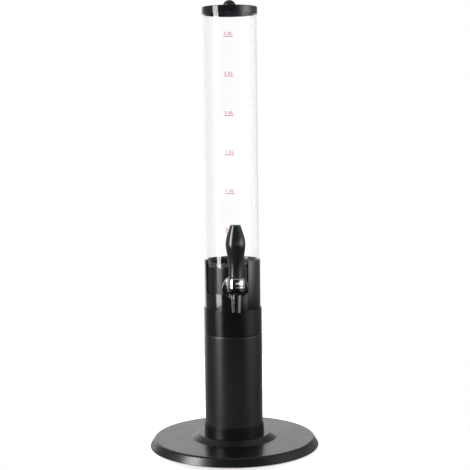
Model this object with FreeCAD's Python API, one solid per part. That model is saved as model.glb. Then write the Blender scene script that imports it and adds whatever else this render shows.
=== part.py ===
import FreeCAD, Part
import math
import os

# Beer tower: a clear three-litre tube with a black cup under it, a chromed tap with a black
# handle screwed through the cup, and a weighted stand that the whole container lifts out of.
# Millimetres. The origin is the centre of the stand's underside, +Z is up, and the tap faces -Y.

# ---------------------------------------------------------------- driving dimensions

# clearances
FIT_GAP = 0.15          # radial gap between pieces fixed to each other
GUIDE_GAP = 0.05        # radial gap of a pin in its guide
RUN_GAP = 0.4           # radial gap between the container and the collar that it lifts out of
SMALL_GAP = 0.3         # gap round small moving pieces

# base
BASE_R = 158.8          # radius at the foot of the bevelled rim
BASE_LEAN = 8.6         # how far the rim leans in on its way up
BASE_TOP_Z = 16.2       # height of the flat top
BASE_WALL = 3.0         # moulded wall
BASE_EDGE_ROUND = 5.9   # rounding between top and rim
RIM_Z = 1.2             # the rim hangs this far above the table
HUB_HEIGHT = 8.0        # the hub rises this far above the flat top
HUB_SHOULDER = 10.3     # level shoulder of the hub round the socket
HUB_SLOPE = 14.4        # width of the slope from that shoulder down to the flat top
HUB_ROUND = 3.0         # rounding at the foot and top of that slope

# socket that holds the column
SOCKET_HEIGHT = 19.1    # above the hub's shoulder
SOCKET_WALL = 1.75
SOCKET_BAND = 0.7       # a thicker foot stands out this far from the socket
SOCKET_BAND_HEIGHT = 5.3
SOCKET_LIP = 0.6        # bevel on the socket's top edge
SOCKET_LIFT = 2.0       # the ledge that the column stands on lies this far above the flat top
SOCKET_FLOOR = 3.0      # thickness of the ledge
LEDGE_WIDTH = 14.0      # width of the ledge and of the column's foot flange

# underside of the base
FEET = 6
FOOT_R = 9.0
FOOT_HEIGHT = 3.0
FOOT_INSET = 15.0       # from the cover's edge to the middle of a foot
FOOT_DISH = 0.5         # hollow under a foot
FOOT_RIM = 2.3          # width of the ring that touches the table
COVER_THICK = 2.5
COVER_GAP = 0.8         # gap between the cover's edge and the rim
COVER_SCREWS = 6
COVER_SCREW_INSET = 17.0
SCREW_BOSS_R = 5.0
BALLAST_GAP = 0.5       # between the ballast and the ceiling over it
BALLAST_INNER_GAP = 4.0
BALLAST_OUTER_GAP = 5.0

# screws
SCREW_R = 1.6
SCREW_HEAD_R = 3.2
SCREW_HEAD = 1.7
SCREW_HEAD_BEVEL = 0.8
SCREW_TIP_BEVEL = 0.6
SCREW_LENGTH = 5.4
SCREW_HOLE_SPARE = 0.6  # a blind hole is this much deeper than its screw
CROSS_WIDTH = 1.0       # cross recess in each screw head
CROSS_LENGTH = 3.8
CROSS_DEPTH = 0.8
COLUMN_SCREWS = 4
COLUMN_SCREW_INSET = 4.5
COLUMN_SCREW_LENGTH = 14.0

# column
COLUMN_LENGTH = 196.8
COLUMN_STEP = 0.1       # the column is this much slimmer than the sleeve on it
COLUMN_WALL = 3.0
COLUMN_SHOULDER = 1.6   # rounding of the top edge
COLUMN_FLANGE = 4.0     # thickness of the flange at its foot
COLUMN_BOSS = 14.0      # height of the screw bosses above that flange

# sleeve on the column
SLEEVE_HEIGHT = 47.5
SLEEVE_WALL = 1.85      # wall round the collar
SLEEVE_TOP_BEVEL = 0.6
SPIGOT_DEPTH = 22.0     # how far the sleeve reaches down into the column
SPIGOT_WALL = 2.8
SEAT_RISE = 27.0        # from the column's top to the ledge that collar and slip ring stand on
SEAT_THICK = 4.0
SEAT_WIDTH = 6.0

# collar with its cut-out
COLLAR_WALL = 1.7
COLLAR_LENGTH = 110.8
CUTOUT_CLEAR = 0.9      # between the cut-out's lower edge and the tap's boss
CUTOUT_HALF_DEG = 50.5
CUTOUT_TURN_DEG = 21.5  # the cut-out's middle lies this far to the left of the tap
CUTOUT_LOW_ROUND = 6.5
CUTOUT_TOP_ROUND = 4.5

# slip ring under the container
SLIP_RING_THICK = 4.0
SLIP_RING_WIDTH = 5.0
SLIP_RING_BEVEL = 0.8

# cup
CUP_R = 50.0
CUP_WALL = 3.2
CUP_SKIRT = 38.0        # height of the open skirt under the cup's floor
CUP_SKIRT_BEVEL = 0.8
CUP_FLOOR = 3.0
CUP_FLOOR_RISE = 3.0    # the floor slopes up this far to its rim, so that the last of the drink runs out
CUP_FLOOR_LAND = 0.6    # width of that rim
CUP_LEDGE = 1.6         # width and edge height of the ledge that the floor is bonded on
CUP_DEPTH = 54.0
CUP_SPIGOT = 8.0        # height of the spigot that the clear tube slides over
CUP_SPIGOT_WALL = 2.5
CUP_SPIGOT_BEVEL = 0.8
SEAL_SECTION = 1.5      # width and height of the seal round the spigot
SEAL_RISE = 3.2         # from the cup's shoulder to the seal

# clear tube
TUBE_LENGTH = 470.8
TUBE_WALL = 2.5

# lid
LID_GASKET = 1.0
LID_SKIRT = 9.5         # how far the skirt reaches down outside the tube
LID_WALL = 0.8
LID_PLATE = 3.2
LID_ROUND = 1.2
LID_LIP = 7.0           # height of the centring lip inside the tube
LID_LIP_WALL = 1.0
KNOB_R = 12.2
KNOB_FOOT = 0.8         # height of the upright foot under the knob's dome
LID_SCREW_R = 2.0
LID_SCREW_HEAD_R = 4.0
LID_SCREW_HEAD = 2.2
LID_SCREW_BEVEL = 1.0
LID_SCREW_LENGTH = 11.0

# tap: distances out from the tower's axis are named d
TAP_RISE = 20.2         # from the cup's floor to the shank's axis
BOSS_R = 13.6
BOSS_STAND = 3.8        # the cup's boss stands out this far
PAD_R = 15.5
PAD_STAND = 3.3         # the flat pad inside the cup stands in this far
GASKET_THICK = 1.5
FLANGE_R = 23.3
FLANGE_THICK = 3.5
FLANGE_BEVEL = 0.8      # on the disc's outer edges
FLANGE_DISH = 1.5       # depth of the dish
FLANGE_RIM = 1.9        # width of the raised rim
FLANGE_NECK = 1.5       # the raised middle is this much wider than the barrel
SHANK_R = 8.5
SHANK_SPARE = 2.0       # the shank ends this far beyond the nut
BARREL_R = 11.0
NUT_FLATS = 26.0
NUT_THICK = 8.0
TAP_REACH = 21.2        # from the flange's face to the axis of spout and lever
BALL_RISE = 3.8         # the round body's middle lies this far above the shank's axis
BALL_BAND = 1.6         # upright band above that middle
SPOUT_DROP = 42.8       # from the shank's axis down to the mouth
SPOUT_R = 7.7           # outer radius at the mouth
SPOUT_ROOT_R = 9.4      # outer radius where the spout meets the round body
SPOUT_BORE_R = 5.0

# valve inside the tap
PIVOT_RISE = 6.3        # from the shank's axis to the lever's ball
INLET_R = 6.2
SEAT_BACK = 18.5        # from the spout's axis back to the shoulder that the washer closes on
CHAMBER_R = 4.2
CHAMBER_AHEAD = 6.0     # the chamber ends this far in front of the spout's axis
GUIDE_LENGTH = 7.5
PLUNGER_R = 2.0
PLUNGER_HEAD_R = 4.9
PLUNGER_HEAD = 1.5
WASHER_R = 5.6
WASHER_THICK = 2.5
EYE_WIDTH = 6.4
EYE_HEIGHT = 3.4
EYE_LENGTH = 8.0
EYE_GAP = 0.35          # radial play of the lever's tip in the eye
LEVER_TIP_R = 1.6
LEVER_ROD_R = 1.0
LEVER_BALL_R = 4.2
LEVER_NECK_R = 1.8
LEVER_NECK = 9.5        # from the ball's middle to where the lever thickens
LEVER_TAPER = 4.0
LEVER_STEM_R = 3.0
LEVER_STEM = 35.0
LEVER_STEM_BEVEL = 0.75
HANDLE_TILT_DEG = 30.0  # how far the handle leans forward when the tap is open

# neck, bush and bonnet
NECK_HEIGHT = 8.4
NECK_STEP = 3.5         # the neck is this much slimmer than the round body
BUSH_SIDE = 5.5         # from the ball's socket out to the side of the bush
NECK_WALL = 2.85        # of the neck round the bush
BUSH_FLANGE = 3.0
BUSH_LIFT = 0.1         # the bush starts this far above the middle of the lever's ball
BUSH_LIP = 2.4          # it grips the ball up to this height above that middle
BONNET_SIDE = 1.8       # the bonnet's top edge is this much wider than the neck
BONNET_CLEAR = 2.0      # from the bush's top to the bonnet's top edge
BONNET_WALL = 2.6

# handle: each rise is measured from the place before it
HANDLE_GAP = 0.5        # gap between the handle's hollow foot and the bonnet
HANDLE_FOOT_R = 12.9
HANDLE_NECK_R = 13.6
HANDLE_NECK_RISE = 25.4
HANDLE_SWELL_R = 16.1
HANDLE_SWELL_RISE = 18.0
HANDLE_BELLY_R = 18.3
HANDLE_BELLY_RISE = 17.0
HANDLE_SHOULDER_R = 14.3
HANDLE_SHOULDER_RISE = 19.5
HANDLE_CROWN_R = 9.8
HANDLE_CROWN_RISE = 13.0
HANDLE_CROWN_ROUND = 2.0
INSERT_R = 5.0
INSERT_LENGTH = 20.0
INSERT_TOP_MARGIN = 5.0

# ---------------------------------------------------------------- worked out from them

Vec = FreeCAD.Vector
ORIGIN = Vec(0, 0, 0)
UP = Vec(0, 0, 1)
ACROSS = Vec(1, 0, 0)

# radii of what is fitted round the container
CUP_BORE_R = CUP_R - CUP_WALL
TUBE_BORE_R = CUP_R - TUBE_WALL
COLLAR_BORE_R = CUP_R + RUN_GAP
COLLAR_R = COLLAR_BORE_R + COLLAR_WALL
SLEEVE_BORE_R = COLLAR_R + FIT_GAP
SLEEVE_R = SLEEVE_BORE_R + SLEEVE_WALL
COLUMN_R = SLEEVE_R - COLUMN_STEP
COLUMN_BORE_R = COLUMN_R - COLUMN_WALL
COLUMN_SCREW_RING_R = COLUMN_BORE_R - COLUMN_SCREW_INSET
SOCKET_BORE_R = COLUMN_R + FIT_GAP
SOCKET_R = SOCKET_BORE_R + SOCKET_WALL
BAND_R = SOCKET_R + SOCKET_BAND
LEDGE_R = SOCKET_BORE_R - LEDGE_WIDTH
HUB_TOP_R = SOCKET_R + HUB_SHOULDER
HUB_FOOT_R = HUB_TOP_R + HUB_SLOPE
LID_BORE_R = CUP_R + SMALL_GAP
LID_R = LID_BORE_R + LID_WALL

# heights of the stand
COVER_BOTTOM_Z = FOOT_HEIGHT
COVER_TOP_Z = COVER_BOTTOM_Z + COVER_THICK
SHELL_CEILING_Z = BASE_TOP_Z - BASE_WALL
HUB_TOP_Z = BASE_TOP_Z + HUB_HEIGHT
SOCKET_FLOOR_Z = BASE_TOP_Z + SOCKET_LIFT
SOCKET_LOW_Z = SOCKET_FLOOR_Z - SOCKET_FLOOR
SOCKET_TOP_Z = HUB_TOP_Z + SOCKET_HEIGHT
COLUMN_TOP_Z = SOCKET_FLOOR_Z + COLUMN_LENGTH
SLEEVE_TOP_Z = COLUMN_TOP_Z + SLEEVE_HEIGHT
SEAT_Z = COLUMN_TOP_Z + SEAT_RISE
COLLAR_TOP_Z = SEAT_Z + COLLAR_LENGTH

# heights of the container and its lid
CUP_FOOT_Z = SEAT_Z + SLIP_RING_THICK
CUP_FLOOR_LOW_Z = CUP_FOOT_Z + CUP_SKIRT
CUP_FLOOR_TOP_Z = CUP_FLOOR_LOW_Z + CUP_FLOOR
CUP_TOP_Z = CUP_FLOOR_TOP_Z + CUP_DEPTH
SEAL_Z = CUP_TOP_Z + SEAL_RISE
TUBE_TOP_Z = CUP_TOP_Z + TUBE_LENGTH
LID_CEILING_Z = TUBE_TOP_Z + LID_GASKET
LID_TOP_Z = LID_CEILING_Z + LID_PLATE
KNOB_DOME_Z = LID_TOP_Z + KNOB_FOOT
LID_SCREW_TOP_Z = LID_CEILING_Z + LID_SCREW_LENGTH

# base outline and what lies under it
BASE_TOP_R = BASE_R - BASE_LEAN
RIM_LEAN = BASE_LEAN / (BASE_TOP_Z - RIM_Z)
COVER_R = BASE_R - BASE_WALL - RIM_LEAN * (COVER_TOP_Z - RIM_Z) - COVER_GAP
FOOT_RING_R = COVER_R - FOOT_INSET
COVER_SCREW_RING_R = COVER_R - COVER_SCREW_INSET
BALLAST_IN_R = BAND_R + BASE_WALL / 2 + BALLAST_INNER_GAP
BALLAST_OUT_R = COVER_SCREW_RING_R - SCREW_BOSS_R - BALLAST_OUTER_GAP
BALLAST_TOP_Z = SHELL_CEILING_Z - BALLAST_GAP

# distances out of the tap's pieces
BOSS_FACE_D = CUP_R + BOSS_STAND
PAD_FACE_D = CUP_BORE_R - PAD_STAND
NUT_FACE_D = PAD_FACE_D - GASKET_THICK
NUT_END_D = NUT_FACE_D - NUT_THICK
SHANK_END_D = NUT_END_D - SHANK_SPARE
FLANGE_BACK_D = BOSS_FACE_D + GASKET_THICK
FLANGE_FACE_D = FLANGE_BACK_D + FLANGE_THICK
TAP_D = FLANGE_FACE_D + TAP_REACH
VALVE_SEAT_D = TAP_D - SEAT_BACK
PLUNGER_HEAD_D = VALVE_SEAT_D - WASHER_THICK
CHAMBER_END_D = TAP_D + CHAMBER_AHEAD
GUIDE_END_D = CHAMBER_END_D + GUIDE_LENGTH
PLUNGER_END_D = GUIDE_END_D - SMALL_GAP

# heights and radii of the tap's pieces
TAP_Z = CUP_FLOOR_TOP_Z + TAP_RISE
SPOUT_Z = TAP_Z - SPOUT_DROP
BALL_Z = TAP_Z + BALL_RISE
PIVOT_Z = TAP_Z + PIVOT_RISE
BONNET_FOOT_Z = BALL_Z + BALL_BAND
NECK_TOP_Z = BONNET_FOOT_Z + NECK_HEIGHT
BUSH_FOOT_Z = PIVOT_Z + BUSH_LIFT
BUSH_TOP_Z = NECK_TOP_Z + BUSH_FLANGE
BONNET_EDGE_Z = BUSH_TOP_Z + BONNET_CLEAR
BUSH_R = LEVER_BALL_R + SMALL_GAP + BUSH_SIDE
NECK_R = BUSH_R + FIT_GAP + NECK_WALL
BALL_R = NECK_R + NECK_STEP
BONNET_BORE_R = NECK_R + FIT_GAP
BONNET_EDGE_R = NECK_R + BONNET_SIDE
DOME_R = math.hypot(BONNET_EDGE_R, BONNET_EDGE_Z - PIVOT_Z)
HANDLE_CAVITY_R = DOME_R + HANDLE_GAP
BALL_SOCKET_R = LEVER_BALL_R + SMALL_GAP
LEVER_NECK_Z = PIVOT_Z + LEVER_NECK
LEVER_STEM_Z = LEVER_NECK_Z + LEVER_TAPER
LEVER_TOP_Z = LEVER_STEM_Z + LEVER_STEM
INSERT_TOP_Z = LEVER_TOP_Z - INSERT_TOP_MARGIN
INSERT_LOW_Z = INSERT_TOP_Z - INSERT_LENGTH


# ---------------------------------------------------------------- ways of making shapes

def eased_wire(corners):
    """Closed wire in the XZ plane through (x, z, easing) corners.

    An easing above 0 is a round of that radius, one below 0 a flat bevel that takes that much
    off each side, and 0 is a sharp corner.
    """
    count = len(corners)
    edges = []
    last = None
    first = None
    for i, (x, z, easing) in enumerate(corners):
        here = Vec(x, 0, z)
        before = Vec(corners[i - 1][0], 0, corners[i - 1][1])
        after = Vec(corners[(i + 1) % count][0], 0, corners[(i + 1) % count][1])
        back = (before - here).normalize()
        ahead = (after - here).normalize()
        half = back.getAngle(ahead) / 2
        start = here
        end = here
        corner = None
        if easing > 0:
            start = here + back * (easing / math.tan(half))
            end = here + ahead * (easing / math.tan(half))
            inward = (back + ahead).normalize()
            middle = here + inward * (easing / math.sin(half) - easing)
            corner = Part.Arc(start, middle, end).toShape()
        elif easing < 0:
            start = here - back * easing
            end = here - ahead * easing
            corner = Part.LineSegment(start, end).toShape()
        if last is None:
            first = start
        else:
            edges.append(Part.LineSegment(last, start).toShape())
        if corner is not None:
            edges.append(corner)
        last = end
    edges.append(Part.LineSegment(last, first).toShape())
    return Part.Wire(edges)


def path_wire(start, *steps):
    """Closed wire in the XZ plane: a step is a point, or two points for an arc through the first."""
    edges = []
    last = Vec(start[0], 0, start[1])
    begin = last
    for step in steps:
        if isinstance(step[0], tuple):
            through = Vec(step[0][0], 0, step[0][1])
            end = Vec(step[1][0], 0, step[1][1])
            edges.append(Part.Arc(last, through, end).toShape())
        else:
            end = Vec(step[0], 0, step[1])
            edges.append(Part.LineSegment(last, end).toShape())
        last = end
    if last.distanceToPoint(begin) > 0:
        edges.append(Part.LineSegment(last, begin).toShape())
    return Part.Wire(edges)


def turned(wire):
    """Solid of revolution about Z."""
    return Part.Face(wire).revolve(ORIGIN, UP, 360)


def ring(inner_r, outer_r, low_z, high_z, bevel=0):
    """Flat ring, with bevelled outer corners if asked."""
    return turned(eased_wire([
        (inner_r, low_z, 0),
        (outer_r, low_z, -bevel),
        (outer_r, high_z, -bevel),
        (inner_r, high_z, 0),
    ]))


def rod(radius, low_z, high_z, x=0, y=0):
    """Upright cylinder."""
    return Part.makeCylinder(radius, high_z - low_z, Vec(x, y, low_z), UP)


def outward(shape):
    """Lay a shape made about Z along the tap's shank, so that its height becomes the distance out."""
    shape.rotate(ORIGIN, ACROSS, 90)
    shape.translate(Vec(0, 0, TAP_Z))
    return shape


def over_spout(shape):
    """Carry a shape made about Z to the upright axis of the tap."""
    shape.translate(Vec(0, -TAP_D, 0))
    return shape


def round_ring(count, radius, turn_deg=0):
    """Points evenly spaced on a circle."""
    points = []
    for i in range(count):
        angle = math.radians(turn_deg + 360 * i / count)
        points.append((radius * math.cos(angle), radius * math.sin(angle)))
    return points


def cover_screw_places():
    """Where the cover's screws sit, each half way between two feet."""
    return round_ring(COVER_SCREWS, COVER_SCREW_RING_R, 180 / COVER_SCREWS)


def column_screw_places():
    """Where the column's screws sit."""
    return round_ring(COLUMN_SCREWS, COLUMN_SCREW_RING_R, 180 / COLUMN_SCREWS)


def on_sphere(sphere_r, centre_z, radius):
    """Height of the upper half of a sphere at a radius from its axis."""
    return centre_z + math.sqrt(sphere_r ** 2 - radius ** 2)


def at_height(sphere_r, centre_z, height):
    """Radius of a sphere at a height."""
    return math.sqrt(sphere_r ** 2 - (height - centre_z) ** 2)


def dome_middle(sphere_r, centre_z, edge_r):
    """Point on a dome's outline half way between its top and its edge."""
    half = math.asin(edge_r / sphere_r) / 2
    return (sphere_r * math.sin(half), centre_z + sphere_r * math.cos(half))


def pan_screw(length):
    """Pan-head screw standing on its head, with the face of the head downwards at z = 0."""
    screw = turned(eased_wire([
        (0, 0, 0),
        (SCREW_HEAD_R, 0, -SCREW_HEAD_BEVEL),
        (SCREW_HEAD_R, SCREW_HEAD, 0),
        (SCREW_R, SCREW_HEAD, 0),
        (SCREW_R, SCREW_HEAD + length, -SCREW_TIP_BEVEL),
        (0, SCREW_HEAD + length, 0),
    ]))
    for turn in (0, 90):
        corner = Vec(-CROSS_LENGTH / 2, -CROSS_WIDTH / 2, 0)
        slot = Part.makeBox(CROSS_LENGTH, CROSS_WIDTH, CROSS_DEPTH, corner)
        slot.rotate(ORIGIN, UP, turn)
        screw = screw.cut(slot)
    return screw


# ---------------------------------------------------------------- stand

def base_shell():
    """Moulded foot: bevelled disc, raised hub and the ring that holds the column."""
    under_band_r = BAND_R + BASE_WALL / 2
    shell = turned(eased_wire([
        (LEDGE_R, SOCKET_LOW_Z, 0),
        (LEDGE_R, SOCKET_FLOOR_Z, 0),
        (SOCKET_BORE_R, SOCKET_FLOOR_Z, 0),
        (SOCKET_BORE_R, SOCKET_TOP_Z, 0),
        (SOCKET_R, SOCKET_TOP_Z, -SOCKET_LIP),
        (SOCKET_R, HUB_TOP_Z + SOCKET_BAND_HEIGHT, 0),
        (BAND_R, HUB_TOP_Z + SOCKET_BAND_HEIGHT - SOCKET_BAND, 0),
        (BAND_R, HUB_TOP_Z, -SOCKET_BAND),
        (HUB_TOP_R, HUB_TOP_Z, HUB_ROUND),
        (HUB_FOOT_R, BASE_TOP_Z, HUB_ROUND),
        (BASE_TOP_R, BASE_TOP_Z, BASE_EDGE_ROUND),
        (BASE_R, RIM_Z, 0),
        (BASE_R - BASE_WALL, RIM_Z, 0),
        (BASE_TOP_R - BASE_WALL, SHELL_CEILING_Z, 0),
        (HUB_FOOT_R + BASE_WALL / 2, SHELL_CEILING_Z, 0),
        (HUB_TOP_R, HUB_TOP_Z - BASE_WALL, 0),
        (under_band_r, HUB_TOP_Z - BASE_WALL, 0),
        (under_band_r, SOCKET_LOW_Z, 0),
    ]))
    for x, y in cover_screw_places():
        shell = shell.fuse(rod(SCREW_BOSS_R, COVER_TOP_Z, SHELL_CEILING_Z + BASE_WALL / 2, x, y))
        shell = shell.cut(rod(SCREW_R, COVER_TOP_Z, COVER_BOTTOM_Z + SCREW_LENGTH + SCREW_HOLE_SPARE, x, y))
    for x, y in column_screw_places():
        shell = shell.cut(rod(SCREW_R + FIT_GAP, SOCKET_LOW_Z, SOCKET_FLOOR_Z, x, y))
    return shell.removeSplitter()


def ballast_plate():
    """Steel ring that weights the foot, lying on the bottom cover."""
    return ring(BALLAST_IN_R, BALLAST_OUT_R, COVER_TOP_Z, BALLAST_TOP_Z)


def bottom_cover():
    """Plate that closes the foot from below."""
    cover = rod(COVER_R, COVER_BOTTOM_Z, COVER_TOP_Z)
    for x, y in cover_screw_places():
        cover = cover.cut(rod(SCREW_R + FIT_GAP, COVER_BOTTOM_Z, COVER_TOP_Z, x, y))
    return cover


def cover_screws():
    """Screws that hold the cover, with their heads under it."""
    screws = []
    for x, y in cover_screw_places():
        screw = pan_screw(SCREW_LENGTH)
        screw.translate(Vec(x, y, COVER_BOTTOM_Z - SCREW_HEAD))
        screws.append(screw)
    return Part.makeCompound(screws)


def foot(number):
    """One rubber pad, slightly dished underneath, stuck to the cover."""
    x, y = round_ring(FEET, FOOT_RING_R)[number]
    pad = turned(eased_wire([
        (0, FOOT_DISH, 0),
        (FOOT_R - FOOT_RIM - FOOT_DISH, FOOT_DISH, 0),
        (FOOT_R - FOOT_RIM, 0, 0),
        (FOOT_R, 0, -FOOT_DISH),
        (FOOT_R, FOOT_HEIGHT, 0),
        (0, FOOT_HEIGHT, 0),
    ]))
    pad.translate(Vec(x, y, 0))
    return pad


def column():
    """Moulded tube with a rounded shoulder and a flanged foot with screw bosses."""
    flange_z = SOCKET_FLOOR_Z + COLUMN_FLANGE
    tube = turned(eased_wire([
        (LEDGE_R, SOCKET_FLOOR_Z, 0),
        (COLUMN_R, SOCKET_FLOOR_Z, 0),
        (COLUMN_R, COLUMN_TOP_Z, COLUMN_SHOULDER),
        (COLUMN_BORE_R, COLUMN_TOP_Z, 0),
        (COLUMN_BORE_R, flange_z, 0),
        (LEDGE_R, flange_z, 0),
    ]))
    for x, y in column_screw_places():
        tube = tube.fuse(rod(SCREW_BOSS_R, SOCKET_FLOOR_Z, flange_z + COLUMN_BOSS, x, y))
    hole_top_z = SOCKET_LOW_Z + COLUMN_SCREW_LENGTH + SCREW_HOLE_SPARE
    for x, y in column_screw_places():
        tube = tube.cut(rod(SCREW_R, SOCKET_FLOOR_Z, hole_top_z, x, y))
    return tube.removeSplitter()


def column_screws():
    """Screws up through the foot's ledge into the column."""
    screws = []
    for x, y in column_screw_places():
        screw = pan_screw(COLUMN_SCREW_LENGTH)
        screw.translate(Vec(x, y, SOCKET_LOW_Z - SCREW_HEAD))
        screws.append(screw)
    return Part.makeCompound(screws)


def sleeve():
    """Ring on top of the column, with a spigot down into it and a ledge for collar and container."""
    spigot_r = COLUMN_BORE_R - FIT_GAP
    spigot_bore_r = spigot_r - SPIGOT_WALL
    spigot_low_z = COLUMN_TOP_Z - SPIGOT_DEPTH
    return turned(eased_wire([
        (spigot_bore_r, spigot_low_z, 0),
        (spigot_r, spigot_low_z, 0),
        (spigot_r, COLUMN_TOP_Z, 0),
        (SLEEVE_R, COLUMN_TOP_Z, 0),
        (SLEEVE_R, SLEEVE_TOP_Z, -SLEEVE_TOP_BEVEL),
        (SLEEVE_BORE_R, SLEEVE_TOP_Z, 0),
        (SLEEVE_BORE_R, SEAT_Z, 0),
        (CUP_R - SEAT_WIDTH, SEAT_Z, 0),
        (CUP_R - SEAT_WIDTH, SEAT_Z - SEAT_THICK, 0),
        (spigot_r, SEAT_Z - SEAT_THICK, 0),
        (spigot_r, COLUMN_TOP_Z + 2 * SPIGOT_WALL, 0),
        (spigot_bore_r, COLUMN_TOP_Z + SPIGOT_WALL, 0),
    ]))


def corner_edges(shape, height):
    """The short radial edges of a cut-out's corners at one height."""
    return [
        edge for edge in shape.Edges
        if edge.Curve.TypeId == "Part::GeomLine"
        and abs(edge.Vertexes[0].Z - height) + abs(edge.Vertexes[-1].Z - height) < GUIDE_GAP
    ]


def collar():
    """Thin tube round the container, open in front for the tap, with rounded corners."""
    tube = ring(COLLAR_BORE_R, COLLAR_R, SEAT_Z, COLLAR_TOP_Z)
    low_z = TAP_Z - BOSS_R - CUTOUT_CLEAR
    opening = Part.makeCylinder(
        2 * COLLAR_R, COLLAR_TOP_Z, Vec(0, 0, low_z), UP, 2 * CUTOUT_HALF_DEG)
    opening.rotate(ORIGIN, UP, -90 - CUTOUT_TURN_DEG - CUTOUT_HALF_DEG)
    tube = tube.cut(opening)
    tube = tube.makeFillet(CUTOUT_LOW_ROUND, corner_edges(tube, low_z))
    return tube.makeFillet(CUTOUT_TOP_ROUND, corner_edges(tube, COLLAR_TOP_Z))


# ---------------------------------------------------------------- container

def slip_ring():
    """Smooth ring between the container and the ledge, on which the container turns."""
    return ring(CUP_R - SLIP_RING_WIDTH, CUP_R, SEAT_Z, CUP_FOOT_Z, SLIP_RING_BEVEL)


def tube_cup():
    """Black cup: wall, ledge for its floor, boss for the tap and spigot that carries the clear tube."""
    spigot_r = TUBE_BORE_R - FIT_GAP
    spigot_bore_r = spigot_r - CUP_SPIGOT_WALL
    groove_r = TUBE_BORE_R - SEAL_SECTION
    cup = turned(eased_wire([
        (CUP_BORE_R - CUP_LEDGE, CUP_FLOOR_LOW_Z - CUP_LEDGE, 0),
        (CUP_BORE_R, CUP_FLOOR_LOW_Z - 2 * CUP_LEDGE, 0),
        (CUP_BORE_R, CUP_FOOT_Z, 0),
        (CUP_R, CUP_FOOT_Z, -CUP_SKIRT_BEVEL),
        (CUP_R, CUP_TOP_Z, 0),
        (spigot_r, CUP_TOP_Z, 0),
        (spigot_r, SEAL_Z, 0),
        (groove_r, SEAL_Z, 0),
        (groove_r, SEAL_Z + SEAL_SECTION, 0),
        (spigot_r, SEAL_Z + SEAL_SECTION, 0),
        (spigot_r, CUP_TOP_Z + CUP_SPIGOT, -CUP_SPIGOT_BEVEL),
        (spigot_bore_r, CUP_TOP_Z + CUP_SPIGOT, 0),
        (spigot_bore_r, CUP_TOP_Z - CUP_WALL, 0),
        (CUP_BORE_R, CUP_TOP_Z - 2 * CUP_WALL, 0),
        (CUP_BORE_R, CUP_FLOOR_LOW_Z, 0),
        (CUP_BORE_R - CUP_LEDGE, CUP_FLOOR_LOW_Z, 0),
    ]))
    mid_wall_r = CUP_BORE_R + CUP_WALL / 2
    inside = rod(CUP_BORE_R, CUP_FLOOR_TOP_Z, CUP_TOP_Z)
    boss = outward(rod(BOSS_R, PAD_FACE_D, BOSS_FACE_D)).cut(inside)
    pad = outward(rod(PAD_R, PAD_FACE_D, mid_wall_r))
    pad = pad.common(rod(mid_wall_r, CUP_FLOOR_TOP_Z - CUP_FLOOR / 2, CUP_TOP_Z))
    hole = outward(rod(SHANK_R + FIT_GAP, SHANK_END_D, FLANGE_FACE_D))
    return cup.fuse([boss, pad]).cut(hole).removeSplitter()


def cup_floor():
    """Round plate bonded on the cup's ledge, with a rim that slopes the drink towards the middle."""
    edge_r = CUP_BORE_R - FIT_GAP
    land_r = edge_r - CUP_FLOOR_LAND
    return turned(eased_wire([
        (0, CUP_FLOOR_LOW_Z, 0),
        (edge_r, CUP_FLOOR_LOW_Z, 0),
        (edge_r, CUP_FLOOR_TOP_Z + CUP_FLOOR_RISE, 0),
        (land_r, CUP_FLOOR_TOP_Z + CUP_FLOOR_RISE, 0),
        (land_r - CUP_FLOOR_RISE, CUP_FLOOR_TOP_Z, 0),
        (0, CUP_FLOOR_TOP_Z, 0),
    ]))


def cup_seal():
    """Square rubber ring in the spigot's groove."""
    return ring(TUBE_BORE_R - SEAL_SECTION, TUBE_BORE_R, SEAL_Z, SEAL_Z + SEAL_SECTION)


def clear_tube():
    """Clear acrylic tube that stands on the cup's shoulder."""
    return ring(TUBE_BORE_R, CUP_R, CUP_TOP_Z, TUBE_TOP_Z)


# ---------------------------------------------------------------- lid

def lid_cap():
    """Cap with a skirt outside the tube, a lip inside it and a hole for the knob's screw."""
    lip_r = TUBE_BORE_R - SMALL_GAP
    return turned(eased_wire([
        (LID_SCREW_R + FIT_GAP, LID_CEILING_Z, 0),
        (lip_r - LID_LIP_WALL, LID_CEILING_Z, 0),
        (lip_r - LID_LIP_WALL, LID_CEILING_Z - LID_LIP, 0),
        (lip_r, LID_CEILING_Z - LID_LIP, 0),
        (lip_r, LID_CEILING_Z, 0),
        (LID_BORE_R, LID_CEILING_Z, 0),
        (LID_BORE_R, TUBE_TOP_Z - LID_SKIRT, 0),
        (LID_R, TUBE_TOP_Z - LID_SKIRT, 0),
        (LID_R, LID_TOP_Z, LID_ROUND),
        (LID_SCREW_R + FIT_GAP, LID_TOP_Z, 0),
    ]))


def lid_gasket():
    """Soft ring in the lid, on the tube's top edge."""
    return ring(TUBE_BORE_R, CUP_R, TUBE_TOP_Z, LID_CEILING_Z)


def lid_knob():
    """Domed knob with a blind hole for the screw."""
    bore_r = LID_SCREW_R + FIT_GAP
    bore_top_z = LID_SCREW_TOP_Z + SCREW_HOLE_SPARE
    return turned(path_wire(
        (bore_r, LID_TOP_Z),
        (KNOB_R, LID_TOP_Z),
        (KNOB_R, KNOB_DOME_Z),
        (dome_middle(KNOB_R, KNOB_DOME_Z, KNOB_R), (0, KNOB_DOME_Z + KNOB_R)),
        (0, bore_top_z),
        (bore_r, bore_top_z),
    ))


def lid_screw():
    """Screw up through the lid into the knob, with its head inside the lid."""
    return turned(eased_wire([
        (0, LID_CEILING_Z - LID_SCREW_HEAD, 0),
        (LID_SCREW_HEAD_R, LID_CEILING_Z - LID_SCREW_HEAD, -LID_SCREW_BEVEL),
        (LID_SCREW_HEAD_R, LID_CEILING_Z, 0),
        (LID_SCREW_R, LID_CEILING_Z, 0),
        (LID_SCREW_R, LID_SCREW_TOP_Z, -SCREW_TIP_BEVEL),
        (0, LID_SCREW_TOP_Z, 0),
    ]))


# ---------------------------------------------------------------- tap

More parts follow.
